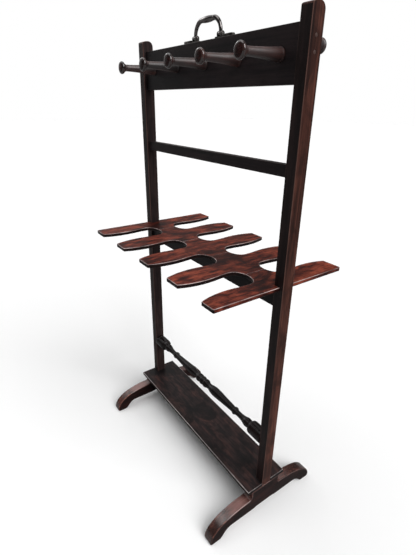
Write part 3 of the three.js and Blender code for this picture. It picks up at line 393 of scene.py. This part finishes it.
plate_metal = old_metal("plate_metal", tone(26, 24, 23), tone(96, 92, 89), 0.2, shift=4)
screw_steel = dull_steel("screw_steel")


# Modelling
def alone(piece):
    """Selects the piece and nothing else."""
    bpy.ops.object.select_all(action="DESELECT")
    piece.select_set(True)
    bpy.context.view_layer.objects.active = piece


def started(name, *materials):
    """The primitive that was just added, named, with its materials, in edit mode."""
    piece = bpy.context.active_object
    piece.name = name
    piece.data.name = name
    for material in materials:
        piece.data.materials.append(material)
    bpy.ops.object.mode_set(mode="EDIT")
    return piece


def pick(kind, test):
    """Selects the points, edges or faces that pass the test, and nothing else."""
    bpy.ops.mesh.select_mode(type=kind)
    bpy.ops.mesh.select_all(action="DESELECT")
    mesh = bmesh.from_edit_mesh(bpy.context.edit_object.data)
    mesh.verts.index_update()
    parts = {"VERT": mesh.verts, "EDGE": mesh.edges, "FACE": mesh.faces}[kind]
    for part in parts:
        if test(part):
            part.select_set(True)
    mesh.select_flush_mode()
    bmesh.update_edit_mesh(bpy.context.edit_object.data)


def outward():
    bpy.ops.mesh.select_all(action="SELECT")
    bpy.ops.mesh.normals_make_consistent(inside=False)


def settled(piece, smooth=38):
    """Leaves edit mode and puts the piece's place into its mesh."""
    if bpy.context.mode != "OBJECT":
        bpy.ops.object.mode_set(mode="OBJECT")
    alone(piece)
    bpy.ops.object.transform_apply(location=True, rotation=True, scale=True)
    bpy.ops.object.shade_smooth_by_angle(angle=math.radians(smooth))
    return piece


def evened(piece):
    """Keeps the shading of broad flat faces flat up to their eased edges."""
    alone(piece)
    modifier = piece.modifiers.new("evened", "WEIGHTED_NORMAL")
    modifier.mode = "FACE_AREA"
    modifier.weight = 100
    modifier.keep_sharp = True
    bpy.ops.object.modifier_apply(modifier=modifier.name)
    return piece


def given(piece, body, node):
    """Ties the piece to a body, and lets it replace a CAD node."""
    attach(piece, body)
    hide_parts(node)


def copied(piece, name, place=(0, 0, 0), turn=(0, 0, 0)):
    """A copy with its own mesh, turned and then set at a place."""
    copy = piece.copy()
    copy.data = piece.data.copy()
    copy.name = name
    copy.data.name = name
    bpy.context.scene.collection.objects.link(copy)
    copy.rotation_euler = turn
    copy.location = place
    return settled(copy)


def joined(name, pieces):
    bpy.ops.object.select_all(action="DESELECT")
    for piece in pieces:
        piece.select_set(True)
    bpy.context.view_layer.objects.active = pieces[0]
    bpy.ops.object.join()
    pieces[0].name = name
    pieces[0].data.name = name
    return pieces[0]


def painted(slot, test):
    """Gives the faces of the piece in edit mode that pass the test another material."""
    pick("FACE", test)
    bpy.context.edit_object.active_material_index = slot
    bpy.ops.object.material_slot_assign()


def turned(name, profile, sides, *materials):
    """A turned piece along +Z from [radius, distance] pairs, closed at both ends."""
    radius, reach = profile[0]
    bpy.ops.object.select_all(action="DESELECT")
    bpy.ops.mesh.primitive_circle_add(
        vertices=sides, radius=radius, fill_type="NGON", location=(0, 0, reach))
    piece = started(name, *materials)
    bpy.ops.mesh.select_mode(type="FACE")
    bpy.ops.mesh.select_all(action="SELECT")
    for next_radius, next_reach in profile[1:]:
        bpy.ops.mesh.extrude_region_move(
            TRANSFORM_OT_translate={"value": (0, 0, next_reach - reach)})
        share = next_radius / radius
        bpy.ops.transform.resize(value=(share, share, 1), center_override=(0, 0, next_reach))
        radius, reach = next_radius, next_reach
    outward()
    return settled(piece)


def curved(points, steps):
    """A smooth line through (radius, distance) points, for a turned profile."""
    def between(p, q, r, s, t):
        return 0.5 * (
            2 * q + (r - p) * t + (2 * p - 5 * q + 4 * r - s) * t ** 2
            + (3 * q - p - 3 * r + s) * t ** 3
        )

    padded = [points[0], *points, points[-1]]
    line = [
        [between(*values, i / steps) for values in zip(*four)]
        for four in zip(padded, padded[1:], padded[2:], padded[3:])
        for i in range(steps)
    ]
    return [*line, points[-1]]


def sawn(name, rows, thickness, *materials):
    """A flat board from rows of (across, near edge, far edge), drawn in X and Y, and thick
    along Z."""
    bpy.ops.object.select_all(action="DESELECT")
    bpy.ops.mesh.primitive_grid_add(x_subdivisions=1, y_subdivisions=len(rows) - 1, size=1)
    piece = started(name, *materials)
    for i, (across, near, far) in enumerate(rows):
        pick("VERT", lambda point, i=i: point.index // 2 == i)
        bpy.ops.transform.resize(value=(far - near, 1, 1), center_override=(0, 0, 0))
        start = i / (len(rows) - 1) - 0.5
        bpy.ops.transform.translate(value=((near + far) / 2, across - start, 0))
    bpy.ops.mesh.select_all(action="SELECT")
    bpy.ops.mesh.remove_doubles(threshold=0.00002)
    bpy.ops.mesh.dissolve_limited(angle_limit=0.0008)
    bpy.ops.mesh.select_mode(type="FACE")
    bpy.ops.mesh.select_all(action="SELECT")
    bpy.ops.mesh.extrude_region_move(TRANSFORM_OT_translate={"value": (0, 0, thickness)})
    outward()
    return piece


def is_rim(edge):
    """Whether an edge of a sawn board runs round its top or bottom face."""
    first, second = (point.co for point in edge.verts)
    return abs(first.z - second.z) < TOUCH


def is_long(edge):
    """Whether an edge runs the length of a rail or of the shelf."""
    first, second = (point.co for point in edge.verts)
    return abs(first.x - second.x) > 0.1


def eased(width, segments, test, material=ARRIS):
    """Rounds the chosen edges of the piece in edit mode."""
    pick("EDGE", test)
    bpy.ops.mesh.bevel(
        offset=width, offset_type="OFFSET", segments=segments, profile=0.5,
        affect="EDGES", clamp_overlap=False, material=material)


def block(name, low, high, *materials):
    middle = (Vector(low) + Vector(high)) / 2
    size = Vector(high) - Vector(low)
    bpy.ops.object.select_all(action="DESELECT")
    bpy.ops.mesh.primitive_cube_add(size=1, location=middle)
    piece = started(name, *materials)
    bpy.ops.transform.resize(value=size, center_override=middle)
    return piece


def cut(piece, cutter):
    """Takes the cutter's shape out of the piece, and removes the cutter."""
    alone(piece)
    modifier = piece.modifiers.new("cut", "BOOLEAN")
    modifier.operation = "DIFFERENCE"
    modifier.solver = "EXACT"
    modifier.object = cutter
    bpy.ops.object.modifier_apply(modifier=modifier.name)
    bpy.data.objects.remove(cutter)


def bezier(p, q, r, s, t):
    u = 1 - t
    return u ** 3 * p + 3 * u * u * t * q + 3 * u * t * t * r + t ** 3 * s


def quadratic(p, q, r, t):
    return (1 - t) ** 2 * p + 2 * (1 - t) * t * q + t * t * r


def curve_points(kind, steps, *controls):
    """Points of a bezier or quadratic curve after its first, from its control points."""
    return [
        tuple(kind(*values, i / steps) for values in zip(*controls)) for i in range(1, steps + 1)
    ]


def height_at(line, y):
    """Height at y of a line through (y, z) points that run towards +Y."""
    for (y0, z0), (y1, z1) in zip(line, line[1:]):
        if y0 <= y <= y1:
            return z0 if y1 - y0 < 1e-9 else z0 + (z1 - z0) * (y - y0) / (y1 - y0)
    return line[-1][1]


# Boot arms: where their middles and the joints between the boards lie along X
FRONT_ARMS = (-0.312, -0.147, 0.009, 0.165, 0.321)
BACK_ARMS = (-0.308, -0.154, 0.0, 0.154, 0.308)
ARM_JOINTS = (-0.234, -0.078, 0.078, 0.234)
JOINT_HALF = 0.00015
# How far the arms reach, and their half widths along the way
ARM_REACH = 0.217
WAIST, SWELL, TAPER, TIP = 0.036, 0.0415, 0.0405, 0.026
SWELL_Y, TAPER_Y = 0.14, 0.185
# Where a slot's round bottom starts and ends, and the outer edge and corners of the end boards
SLOT_TURN, SLOT_BOTTOM = 0.063, 0.034
END_EDGE, END_CORNER = 0.341, 0.005


def slot_side(centre, neighbour, edge):
    """(y, x) points of an arm's side, from the joint with the next board to the tip."""
    toward = 1 if neighbour > centre else -1
    slot = (centre + neighbour) / 2
    half = abs(neighbour - centre) / 2 - WAIST
    depth = SLOT_TURN - SLOT_BOTTOM
    start = math.asin(max(0, toward * (slot - edge) / half))
    points = [(0, edge), (SLOT_TURN - depth * math.cos(start), edge)]
    if start == 0:
        points.append((SLOT_BOTTOM + 0.00005, slot))
    for i in range(1, 19):
        angle = start + (math.pi / 2 - start) * i / 18
        points.append((
            SLOT_TURN - depth * math.cos(angle), slot - toward * half * math.sin(angle)))
    hold = (SLOT_TURN + SWELL_Y) / 2
    waist, swell, taper, tip = (centre + toward * wide for wide in (WAIST, SWELL, TAPER, TIP))
    points += curve_points(
        bezier, 16, (SLOT_TURN, waist), (hold, waist), (hold, swell), (SWELL_Y, swell))
    points += curve_points(
        quadratic, 14, (SWELL_Y, swell), (TAPER_Y, taper), (ARM_REACH, tip))
    return points


def end_side(side):
    """(y, x) points of an end arm's outer edge: post notch, straight edge, rounded corner."""
    turn = ARM_REACH - END_CORNER
    line = [(0, inner), (NOTCH_HALF, inner), (NOTCH_END, END_EDGE), (turn, END_EDGE)]
    line += curve_points(
        quadratic, 6, (turn, END_EDGE), (ARM_REACH - 0.00002, END_EDGE),
        (ARM_REACH, END_EDGE - END_CORNER))
    return [(y, side * x) for y, x in line]


def arm_half(centres, number):
    """Rows (y, left, right) of one half of an arm board."""
    last = len(centres) - 1
    left = end_side(-1) if number == 0 else slot_side(
        centres[number], centres[number - 1], ARM_JOINTS[number - 1] + JOINT_HALF)
    right = end_side(1) if number == last else slot_side(
        centres[number], centres[number + 1], ARM_JOINTS[number] - JOINT_HALF)
    places = sorted({round(y, 6) for y, _ in left + right if y > 0})
    return [(y, height_at(left, y), height_at(right, y)) for y in places]


def arms():
    low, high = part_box("boot_arm_3")
    thick = high.z - low.z
    unworn = [x + side * JOINT_HALF for side in (-1, 1) for x in ARM_JOINTS] + [-inner, inner]

    def on_joint(edge):
        """Whether an edge lies on a joint between boards, or against a post."""
        return any(
            all(abs(point.co.x - x) < TOUCH and abs(point.co.y) < SLOT_BOTTOM + 0.001
                for point in edge.verts)
            for x in unworn)

    def is_tip_corner(edge):
        """Whether an edge is an upright corner of a tip; the end boards' outer ones are round."""
        return not is_rim(edge) and all(
            abs(point.co.y) > ARM_REACH - HAIR and abs(point.co.x) < END_EDGE - 2 * END_CORNER
            for point in edge.verts)

    def is_under(edge):
        return is_rim(edge) and edge.verts[0].co.z < TOUCH

    def is_upper(edge):
        return is_rim(edge) and edge.verts[0].co.z > thick - TOUCH

    for number in range(5):
        front = arm_half(FRONT_ARMS, number)
        rows = [(-y, left, right) for y, left, right in reversed(front)]
        rows += arm_half(BACK_ARMS, number)
        board = sawn(
            f"boot_arm_board_{number + 1}", rows, thick, arm_wood, arm_arris, arm_shaded_wood)
        # Painted shade: the sides and undersides get the darker copy of the wood, all but the end
        # boards' outer sides, and so do the eased tip corners and under edges
        painted(SHADED_SLOT, lambda face: (
            face.normal.z < 0.5 and abs(face.calc_center_median().x) < END_EDGE - HAIR))
        eased(0.0014, 3, is_tip_corner, SHADED_SLOT)
        eased(0.0022, 3, lambda edge: is_under(edge) and not on_joint(edge), SHADED_SLOT)
        eased(0.0013, 3, lambda edge: is_upper(edge) and not on_joint(edge))
        eased(0.0006, 2, lambda edge: is_upper(edge) and on_joint(edge))
        board.location.z = low.z
        given(evened(settled(board)), "rack", f"boot_arm_{number + 1}")


# Posts
def posts():
    """Stiles with a low rounded top that falls further to the back than to the front."""
    crown_y, front_drop, back_drop = 0.003, 0.006, 0.015
    front, back = post_low.y, post_high.y

    def top(y):
        end, drop = (back, back_drop) if y > crown_y else (front, front_drop)
        share = (end - y) / (end - crown_y)
        return post_high.z - drop * (1 - math.sqrt(max(0, 1 - (1 - share) ** 2)))

    def places(end):
        """Places from the crown to the front or the back, closer together towards it."""
        return [crown_y + (end - crown_y) * math.sin(math.radians(9 * i)) for i in range(11)]

    foot_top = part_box("bottom_shelf")[0].z
    rows = [(y, foot_top, top(y)) for y in [*places(front)[:0:-1], *places(back)]]

    def is_corner(edge):
        """Whether an edge crosses the stile at its front or its back."""
        first, second = (point.co for point in edge.verts)
        return abs(first.z - second.z) > 0.02 and all(
            abs(abs(point.y) - back) < TOUCH and 0.001 < point.z < 0.03
            for point in (first, second))

    for side, word in ((-1, "left"), (1, "right")):
        low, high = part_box(f"{word}_post")
        piece = sawn(
            f"{word}_post_stile", rows, high.x - low.x, post_wood, post_arris, post_shaded_wood)
        # Painted shade: its front and its inner side get a darker copy of the wood
        painted(SHADED_SLOT, lambda face: face.normal.y < -0.9 or face.normal.z * side > 0.9)
        eased(0.0014, 3, is_rim)
        eased(0.0014, 3, is_corner)
        piece.rotation_euler = (0, -math.pi / 2, 0)
        piece.location.x = high.x
        settled(piece)
        for number in (1, 2):
            node = f"{word}_rail_dowel_{number}"
            dowel_low, dowel_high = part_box(node)
            radius = (dowel_high.z - dowel_low.z) / 2
            height = (dowel_high.z + dowel_low.z) / 2
            cutter = turned(
                "dowel_hole", [(radius + 0.0002, -0.004), (radius + 0.0002, 0.004)], 32)
            cutter.rotation_euler = (0, math.pi / 2, 0)
            cutter.location = (side * post_high.x, 0, height)
            cut(piece, settled(cutter))
            end = turned(f"{word}_rail_dowel_end_{number}", [
                (radius, -0.02), (radius, -0.0006), (radius - 0.0005, -0.0003),
                (radius * 0.5, -0.00015), (0.0004, -0.0001)], 32, dowel_wood)
            end.rotation_euler = (0, side * math.pi / 2, 0)
            end.location = (side * post_high.x, 0, height)
            given(settled(end), "rack", node)
        given(evened(settled(piece)), "rack", f"{word}_post")


# Rails
def rails():
    """Boards on edge, with a well for each screw's head under the bearer."""
    widths = {"peg_rail": 0.0013, "middle_rail": 0.0012, "boot_bearer_rail": 0.0013}
    for node, width in widths.items():
        low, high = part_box(node)
        low.x, high.x = -inner, inner
        piece = block(f"{node}_board", low, high, rail_wood, rail_arris)
        eased(width, 3, is_long)
        settled(piece)
        if node == "boot_bearer_rail":
            for number in range(1, 6):
                screw_low, screw_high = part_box(f"arm_screw_{number}")
                well = turned("well", [(0.005, -0.01), (0.005, 0)], 32, rail_wood)
                well.location = ((screw_low.x + screw_high.x) / 2, 0, screw_low.z)
                cut(piece, settled(well))
            settled(piece)
        given(evened(piece), "rack", node)


# Pegs: where the rim and the face of the head start, from the rail's face
PEG_RIM_START, PEG_FACE_START = 0.106, 0.1118


def pegs():
    profile = [
        (0.006, -0.015), (0.006, 0.0),
        (0.0142, 0.0), (0.0146, 0.0006), (0.0148, 0.0018), (0.0147, 0.0032), (0.0143, 0.0044),
        (0.0139, 0.0054),
        *curved([
            (0.01375, 0.0068), (0.0136, 0.012), (0.0124, 0.026), (0.0109, 0.045), (0.0097, 0.066),
            (0.0090, 0.084), (0.00895, 0.0925),
        ], 4),
        (0.0092, 0.0948), (0.0099, 0.0960), (0.0102, 0.0970), (0.0101, 0.0980),
        *curved([
            (0.0106, 0.0988), (0.0126, 0.1006), (0.0149, 0.1026), (0.0164, 0.1048),
            (0.0168, 0.107), (0.0165, 0.1088), (0.0153, 0.1104), (0.0128, 0.1117),
            (0.0092, 0.1124), (0.0050, 0.1128), (0.0006, 0.1129),
        ], 4),
    ]
    model = turned("peg_model", profile, 56, peg_wood, peg_rim_wood, peg_face_wood)
    alone(model)
    bpy.ops.object.mode_set(mode="EDIT")
    painted(PEG_RIM, lambda face: face.calc_center_median().z > PEG_RIM_START)
    painted(PEG_FACE, lambda face: face.calc_center_median().z > PEG_FACE_START)
    settled(model)
    for row, side in (("front", -1), ("back", 1)):
        for number in range(1, 6):
            node = f"{row}_peg_{number}"
            low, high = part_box(node)
            place = ((low.x + high.x) / 2, side * rail_face, (low.z + high.z) / 2)
            peg = copied(model, f"{row}_peg_turned_{number}", place, (-side * math.pi / 2, 0, 0))
            given(peg, "rack", node)
    bpy.data.objects.remove(model)


# Shelf
def shelf():
    """A board with pale eased edges, partly wear and partly painted highlight, and painted shade
    on its sides and underside, cut away round both posts.
    """
    low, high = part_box("bottom_shelf")

    def is_end(edge):
        """Whether an edge runs along the shelf's left or right end."""
        first, second = (point.co for point in edge.verts)
        return abs(first.y - second.y) > 0.05 and all(
            abs(abs(point.x) - high.x) < TOUCH for point in (first, second))

    piece = block("bottom_shelf_board", low, high, shelf_wood, shelf_arris, shelf_shaded_wood)
    # Painted shade: its sides, ends and underside get a darker copy of the wood
    painted(SHADED_SLOT, lambda face: face.normal.z < 0.5)
    eased(0.0017, 4, is_long)
    eased(0.0012, 2, is_end)
    settled(piece)
    for side in (-1, 1):
        left, right = sorted((side * inner, side * (high.x + 0.01)))
        cutter = block(
            "shelf_notch", (left, -NOTCH_HALF, low.z - 0.01), (right, NOTCH_HALF, high.z + 0.01),
            shelf_wood)
        cut(piece, settled(cutter))
    given(evened(settled(piece)), "rack", "bottom_shelf")


# Feet
def foot_curves():
    """Points of the rear half's upper and lower outlines, from the middle to the toe."""
    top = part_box("right_foot")[1].z
    upper = [(0, top), (0.056, top), (0.05605, 0.092)]
    upper += curve_points(quadratic, 8, (0.05605, 0.092), (0.0561, 0.08), (0.068, 0.08))
    upper += curve_points(quadratic, 8, (0.068, 0.08), (0.108, 0.08), (0.148, 0.069))
    upper += curve_points(
        bezier, 24, (0.148, 0.069), (0.182, 0.061), (0.214, 0.036), (0.214, 0.008))
    lower = [(0, 0.033), (0.028, 0.033)]
    lower += curve_points(bezier, 6, (0.028, 0.033), (0.039, 0.033), (0.039, 0.03), (0.05, 0.03))
    lower.append((0.133, 0.03))
    lower += curve_points(bezier, 16, (0.133, 0.03), (0.164, 0.03), (0.164, 0), (0.183, 0))
    lower.append((0.205, 0))
    lower += curve_points(quadratic, 6, (0.205, 0), (0.214, 0), (0.214, 0.008))
    return upper, lower


def feet():
    upper, lower = foot_curves()
    places = sorted({round(y, 6) for y, _ in upper + lower if y > 0})
    half = [(y, height_at(lower, y), height_at(upper, y)) for y in places]
    rows = [(-y, low, high) for y, low, high in reversed(half)] + half
    low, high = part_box("right_foot")
    model = sawn("foot_model", rows, high.x - low.x, foot_wood, foot_arris, foot_shaded_wood)
    # Painted shade: the flat sides get a darker copy of the wood
    painted(SHADED_SLOT, lambda face: abs(face.normal.z) > 0.9)
    eased(0.0028, 4, is_rim, PLAIN)
    # The front toes' eased edges are painted pale: partly wear, partly painted highlight
    painted(ARRIS, lambda face: (
        face.calc_center_median().y < -0.15 and 0.1 < abs(face.normal.z) < 0.9))
    settled(model)
    for word in ("left", "right"):
        place = (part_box(f"{word}_foot")[1].x, 0, 0)
        foot = copied(model, f"{word}_foot_arched", place, (0, -math.pi / 2, 0))
        given(evened(settled(foot, 50)), "rack", f"{word}_foot")
    bpy.data.objects.remove(model)


# Turned stretcher
def stretcher():
    low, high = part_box("turned_stretcher")

    def bead(place, half, neck, crown):
        """(radius, distance) points over a bead that reaches half to each side of a place."""
        turns = [math.radians(angle) for angle in range(0, 181, 20)]
        return [
            (neck + (crown - neck) * math.sin(turn), place - half * math.cos(turn))
            for turn in turns
        ]

    half = [
        *bead(0, 0.008, 0.0122, 0.0152)[4:],
        *bead(0.02, 0.008, 0.0122, 0.0152),
        *curved([
            (0.0120, 0.0285), (0.0112, 0.033), (0.0106, 0.039), (0.0112, 0.046), (0.0134, 0.056),
            (0.0152, 0.068), (0.0156, 0.078), (0.0150, 0.094), (0.0136, 0.115), (0.0120, 0.14),
            (0.0108, 0.162), (0.0102, 0.176),
        ], 4),
        (0.0102, 0.1795), (0.0110, 0.1803),
        *bead(0.186, 0.005, 0.0108, 0.0131),
        (0.0102, 0.1918),
        *curved([
            (0.0096, 0.194), (0.0089, 0.202), (0.0090, 0.213), (0.0098, 0.224), (0.0104, 0.2295),
        ], 4),
        (0.0110, 0.2300), (0.0112, 0.2312), (0.0104, 0.2320),
        *curved([
            (0.0110, 0.2335), (0.0134, 0.239), (0.0146, 0.2465), (0.0142, 0.254), (0.0128, 0.2590),
        ], 4),
        (0.0122, 0.2598), (0.0124, 0.2622),
        *curved([
            (0.0130, 0.2630), (0.0168, 0.2648), (0.0198, 0.2672), (0.0212, 0.2700),
            (0.0218, 0.2740),
        ], 3),
        (0.0214, 0.2748), (0.0214, 0.2760), (0.0220, 0.2766),
        (0.0220, 0.3080), (0.0214, 0.3086), (0.0214, 0.3098), (0.0220, 0.3104),
        (0.0220, inner - 0.0014), (0.0214, inner - 0.0004), (0.0204, inner),
        (0.008, inner), (0.008, inner + 0.012),
    ]
    profile = [(r, -x) for r, x in reversed(half)] + half[1:]
    piece = turned("turned_stretcher_bar", profile, 56, turned_wood)
    piece.rotation_euler = (0, math.pi / 2, 0)
    piece.location = (0, 0, (low.z + high.z) / 2)
    given(settled(piece), "rack", "turned_stretcher")


# Carrying handle: its legs' distance from the middle, its rise over the pins, and its bar
BAIL_LEG, BAIL_RISE, BAIL_RADIUS = 0.054, 0.036, 0.0044
# The plates' ears: where each starts along X, their thickness, half their width, and how
# high above the plate's underside they start
EAR_STARTS = (BAIL_LEG - 0.0091, BAIL_LEG + 0.0051)
EAR_THICK, EAR_HALF, EAR_FOOT = 0.004, 0.0056, 0.0024
# The plates' bosses and tongues
BOSS_START, BOSS_HALF, BOSS_THICK = 0.067, 0.007, 0.0062
TONGUE_END, TONGUE_HALF, TONGUE_THICK = 0.07, 0.0064, 0.003


def bail():
    """A bar bent into a flat bow on two short legs, a little thicker at the corners."""
    bpy.ops.object.select_all(action="DESELECT")
    bpy.ops.curve.primitive_bezier_curve_add(location=(0, 0, 0))
    bar = bpy.context.active_object
    spline = bar.data.splines[0]
    knots = [
        ((-BAIL_LEG, -0.001), (-BAIL_LEG, -0.004), (-BAIL_LEG, 0.003), 0.95),
        ((-BAIL_LEG, 0.006), (-BAIL_LEG, 0.003), (-BAIL_LEG, 0.0225), 1.0),
        ((-0.0276, BAIL_RISE), (-0.0395, BAIL_RISE), (-0.02, BAIL_RISE), 1.32),
        ((0.0276, BAIL_RISE), (0.02, BAIL_RISE), (0.0395, BAIL_RISE), 1.32),
        ((BAIL_LEG, 0.006), (BAIL_LEG, 0.0225), (BAIL_LEG, 0.003), 1.0),
        ((BAIL_LEG, -0.001), (BAIL_LEG, 0.003), (BAIL_LEG, -0.004), 0.95),
    ]
    spline.bezier_points.add(len(knots) - len(spline.bezier_points))
    for point, (place, before, after, thick) in zip(spline.bezier_points, knots):
        point.handle_left_type = point.handle_right_type = "FREE"
        point.co = (place[0], 0, place[1])
        point.handle_left = (before[0], 0, before[1])
        point.handle_right = (after[0], 0, after[1])
        point.radius = thick
    bar.data.dimensions = "3D"
    bar.data.resolution_u = 20
    bar.data.bevel_depth = BAIL_RADIUS
    bar.data.bevel_resolution = 8
    bar.data.use_fill_caps = True
    bpy.ops.object.convert(target="MESH")
    bar.data.materials.clear()
    bar.data.materials.append(handle_metal)
    bar.location = pivot
    return settled(bar, 60)


def handle():
    """The bail with its swelled grip, and an eye with a pin at the foot of each leg."""
    swell = curved([
        (0.0075, 0.0), (0.0074, 0.006), (0.0070, 0.0125), (0.0064, 0.0185), (0.0059, 0.0235),
        (0.0053, 0.0276),
    ], 4)
    grip = turned(
        "handle_grip", [(r, -x) for r, x in reversed(swell)] + swell[1:], 40, handle_metal)
    grip.rotation_euler = (0, math.pi / 2, 0)
    grip.location = (pivot[0], pivot[1], pivot[2] + BAIL_RISE)
    parts = [bail(), settled(grip, 50)]
    for side in (-1, 1):
        eye = turned("eye", [
            (0.0042, -0.0047), (0.0050, -0.0044), (0.0052, -0.0037), (0.0052, 0.0037),
            (0.0050, 0.0044), (0.0042, 0.0047)], 40, handle_metal)
        pin = turned("pin", [
            (0.0014, -0.0093), (0.0019, -0.0090), (0.0019, 0.0090), (0.0014, 0.0093)],
            28, handle_metal)
        for part in (eye, pin):
            part.rotation_euler = (0, math.pi / 2, 0)
            part.location = (side * BAIL_LEG, pivot[1], pivot[2])
            parts.append(settled(part, 50))
    given(joined("carrying_handle", parts), "handle", "handle_bail")


def rounded_end(start, end, half, steps=20):
    """Rows of a strip along X whose far end is a half circle."""
    rows = []
    for i in range(steps + 1):
        y = -half * math.cos(math.pi * i / steps)
        rows.append((y, start, end - half + math.sqrt(max(1e-12, half * half - y * y))))
    return rows


def plates():
    """A thin tongue with two ears, and a thick rounded boss where two screws hold it."""
    low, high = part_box("handle_plate_right")
    boss = sawn("boss", rounded_end(BOSS_START, high.x, BOSS_HALF), BOSS_THICK, plate_metal)
    eased(0.0017, 5, lambda edge: is_rim(edge) and edge.verts[0].co.z > BOSS_THICK / 2, PLAIN)
    boss.location.z = low.z
    settled(boss, 50)
    tongue = block(
        "tongue", (low.x, -TONGUE_HALF, low.z), (TONGUE_END, TONGUE_HALF, low.z + TONGUE_THICK),
        plate_metal)
    eased(0.0006, 3, lambda edge: all(point.co.z > low.z for point in edge.verts), PLAIN)
    parts = [boss, settled(tongue)]
    height = pivot[2] - low.z - EAR_FOOT + EAR_HALF
    for start in EAR_STARTS:
        ear = sawn("ear", rounded_end(0, height, EAR_HALF), EAR_THICK, plate_metal)
        eased(0.0006, 2, is_rim, PLAIN)
        ear.rotation_euler = (0, -math.pi / 2, 0)
        ear.location = (start + EAR_THICK, 0, low.z + EAR_FOOT)
        parts.append(settled(ear, 50))
    plate = joined("plate_model", parts)
    for number in (3, 4):
        screw_low, screw_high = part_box(f"handle_screw_{number}")
        radius = (screw_high.x - screw_low.x) / 2 + 0.0002
        hole = turned("hole", [(radius, -0.003), (radius, 0.004)], 32, plate_metal)
        hole.location = ((screw_low.x + screw_high.x) / 2, 0, screw_high.z)
        cut(plate, settled(hole))
    settled(plate, 50)
    left = copied(plate, "left_handle_plate", turn=(0, 0, math.pi))
    given(left, "rack", "handle_plate_left")
    right = copied(plate, "right_handle_plate")
    given(right, "rack", "handle_plate_right")
    bpy.data.objects.remove(plate)


def dressed():
    """The CAD nodes that stay, each with its material."""
    finishes = {
        **{f"arm_dowel_{i}": dowel_wood for i in range(1, 9)},
        **{f"shelf_dowel_{i}": dowel_wood for i in range(1, 5)},
        **{f"arm_screw_{i}": screw_steel for i in range(1, 6)},
        **{f"handle_screw_{i}": plate_metal for i in range(1, 5)},
    }
    for name, material in finishes.items():
        node = frame["nodes"][name]
        node.data.materials.clear()
        node.data.materials.append(material)


# Floor, light and surroundings
def backdrop_seen(tree, mirrored):
    """Share of the plain white background that a ray meets: all of it straight or through
    glass, and the given share in a mirroring surface."""
    rays = tree.nodes.new("ShaderNodeLightPath")
    dimmed = tree.nodes.new("ShaderNodeMath")
    dimmed.operation = "MULTIPLY"
    tree.links.new(rays.outputs["Is Glossy Ray"], dimmed.inputs[0])
    join(tree, mirrored, dimmed.inputs[1])
    total = rays.outputs["Is Camera Ray"]
    for value in (dimmed.outputs[0], rays.outputs["Is Transmission Ray"]):
        either = tree.nodes.new("ShaderNodeMath")
        either.operation = "MAXIMUM"
        tree.links.new(total, either.inputs[0])
        tree.links.new(value, either.inputs[1])
        total = either.outputs[0]
    return total


def floor():
    bpy.ops.object.select_all(action="DESELECT")
    bpy.ops.mesh.primitive_plane_add(size=60, location=(0, 0, 0))
    plane = bpy.context.active_object
    plane.name = "floor"
    paint = Finish("pale_floor")
    dim, pale = ((share, share, share, 1) for share in (FLOOR_BOUNCE, FLOOR_TONE))
    color = paint.cover(backdrop_seen(paint.tree, FLOOR_MIRRORED), dim, pale)
    plane.data.materials.append(
        paint.set(Base_Color=color, Roughness=0.9, Specular_IOR_Level=0.0))


def light():
    """A broad soft lamp on the right and a small dim one on the left, in a room that is bright
    overhead and dark in front. The camera sees it white all round."""
    for name, toward, energy, angle in (
            ("soft_lamp", (1.05, 0.12, 1.0), SUN, SUN_ANGLE),
            ("accent_lamp", (-0.9, -0.12, 0.5), ACCENT, ACCENT_ANGLE)):
        lamp = bpy.data.lights.new(name, "SUN")
        lamp.energy = energy
        lamp.angle = math.radians(angle)
        sun = bpy.data.objects.new(name, lamp)
        sun.rotation_euler = Vector(toward).to_track_quat("Z", "Y").to_euler()
        bpy.context.scene.collection.objects.link(sun)

    world = bpy.data.worlds.new("pale_room")
    world.use_nodes = True
    bpy.context.scene.world = world
    tree = world.node_tree
    nodes, links = tree.nodes, tree.links
    background = nodes["Background"]
    background.inputs["Color"].default_value = (1, 1, 1, 1)
    way = nodes.new("ShaderNodeTexCoord")

    def patch(direction, edge, full, strength, under):
        """Adds a soft bright patch of the room, round a direction, to the light under it."""
        facing = nodes.new("ShaderNodeVectorMath")
        facing.operation = "DOT_PRODUCT"
        facing.inputs[1].default_value = Vector(direction).normalized()
        links.new(way.outputs["Generated"], facing.inputs[0])
        share = nodes.new("ShaderNodeMapRange")
        share.interpolation_type = "SMOOTHSTEP"
        share.inputs["From Min"].default_value = edge
        share.inputs["From Max"].default_value = full
        share.inputs["To Max"].default_value = strength
        links.new(facing.outputs["Value"], share.inputs["Value"])
        total = nodes.new("ShaderNodeMath")
        links.new(share.outputs["Result"], total.inputs[0])
        join(tree, under, total.inputs[1])
        return total.outputs[0]

    room = patch((-0.24, -0.2, 1.0), 0.86, 0.97, OVERHEAD, AMBIENT)
    room = patch((1.0, 0.3, 0.55), 0.35, 0.95, SIDE, room)
    mirrored = 0.0
    for direction, edge, full, brightness in MIRRORED_PATCHES:
        mirrored = patch(direction, edge, full, brightness, mirrored)
    strength = nodes.new("ShaderNodeMix")
    links.new(backdrop_seen(tree, mirrored), strength.inputs[0])
    links.new(room, strength.inputs[NUMBER_A])
    strength.inputs[NUMBER_B].default_value = 1.0
    links.new(strength.outputs[NUMBER_RESULT], background.inputs["Strength"])


bpy.context.scene.view_settings.view_transform = "Standard"
place_camera()
floor()
light()
arms()
posts()
rails()
pegs()
shelf()
feet()
stretcher()
handle()
plates()
dressed()
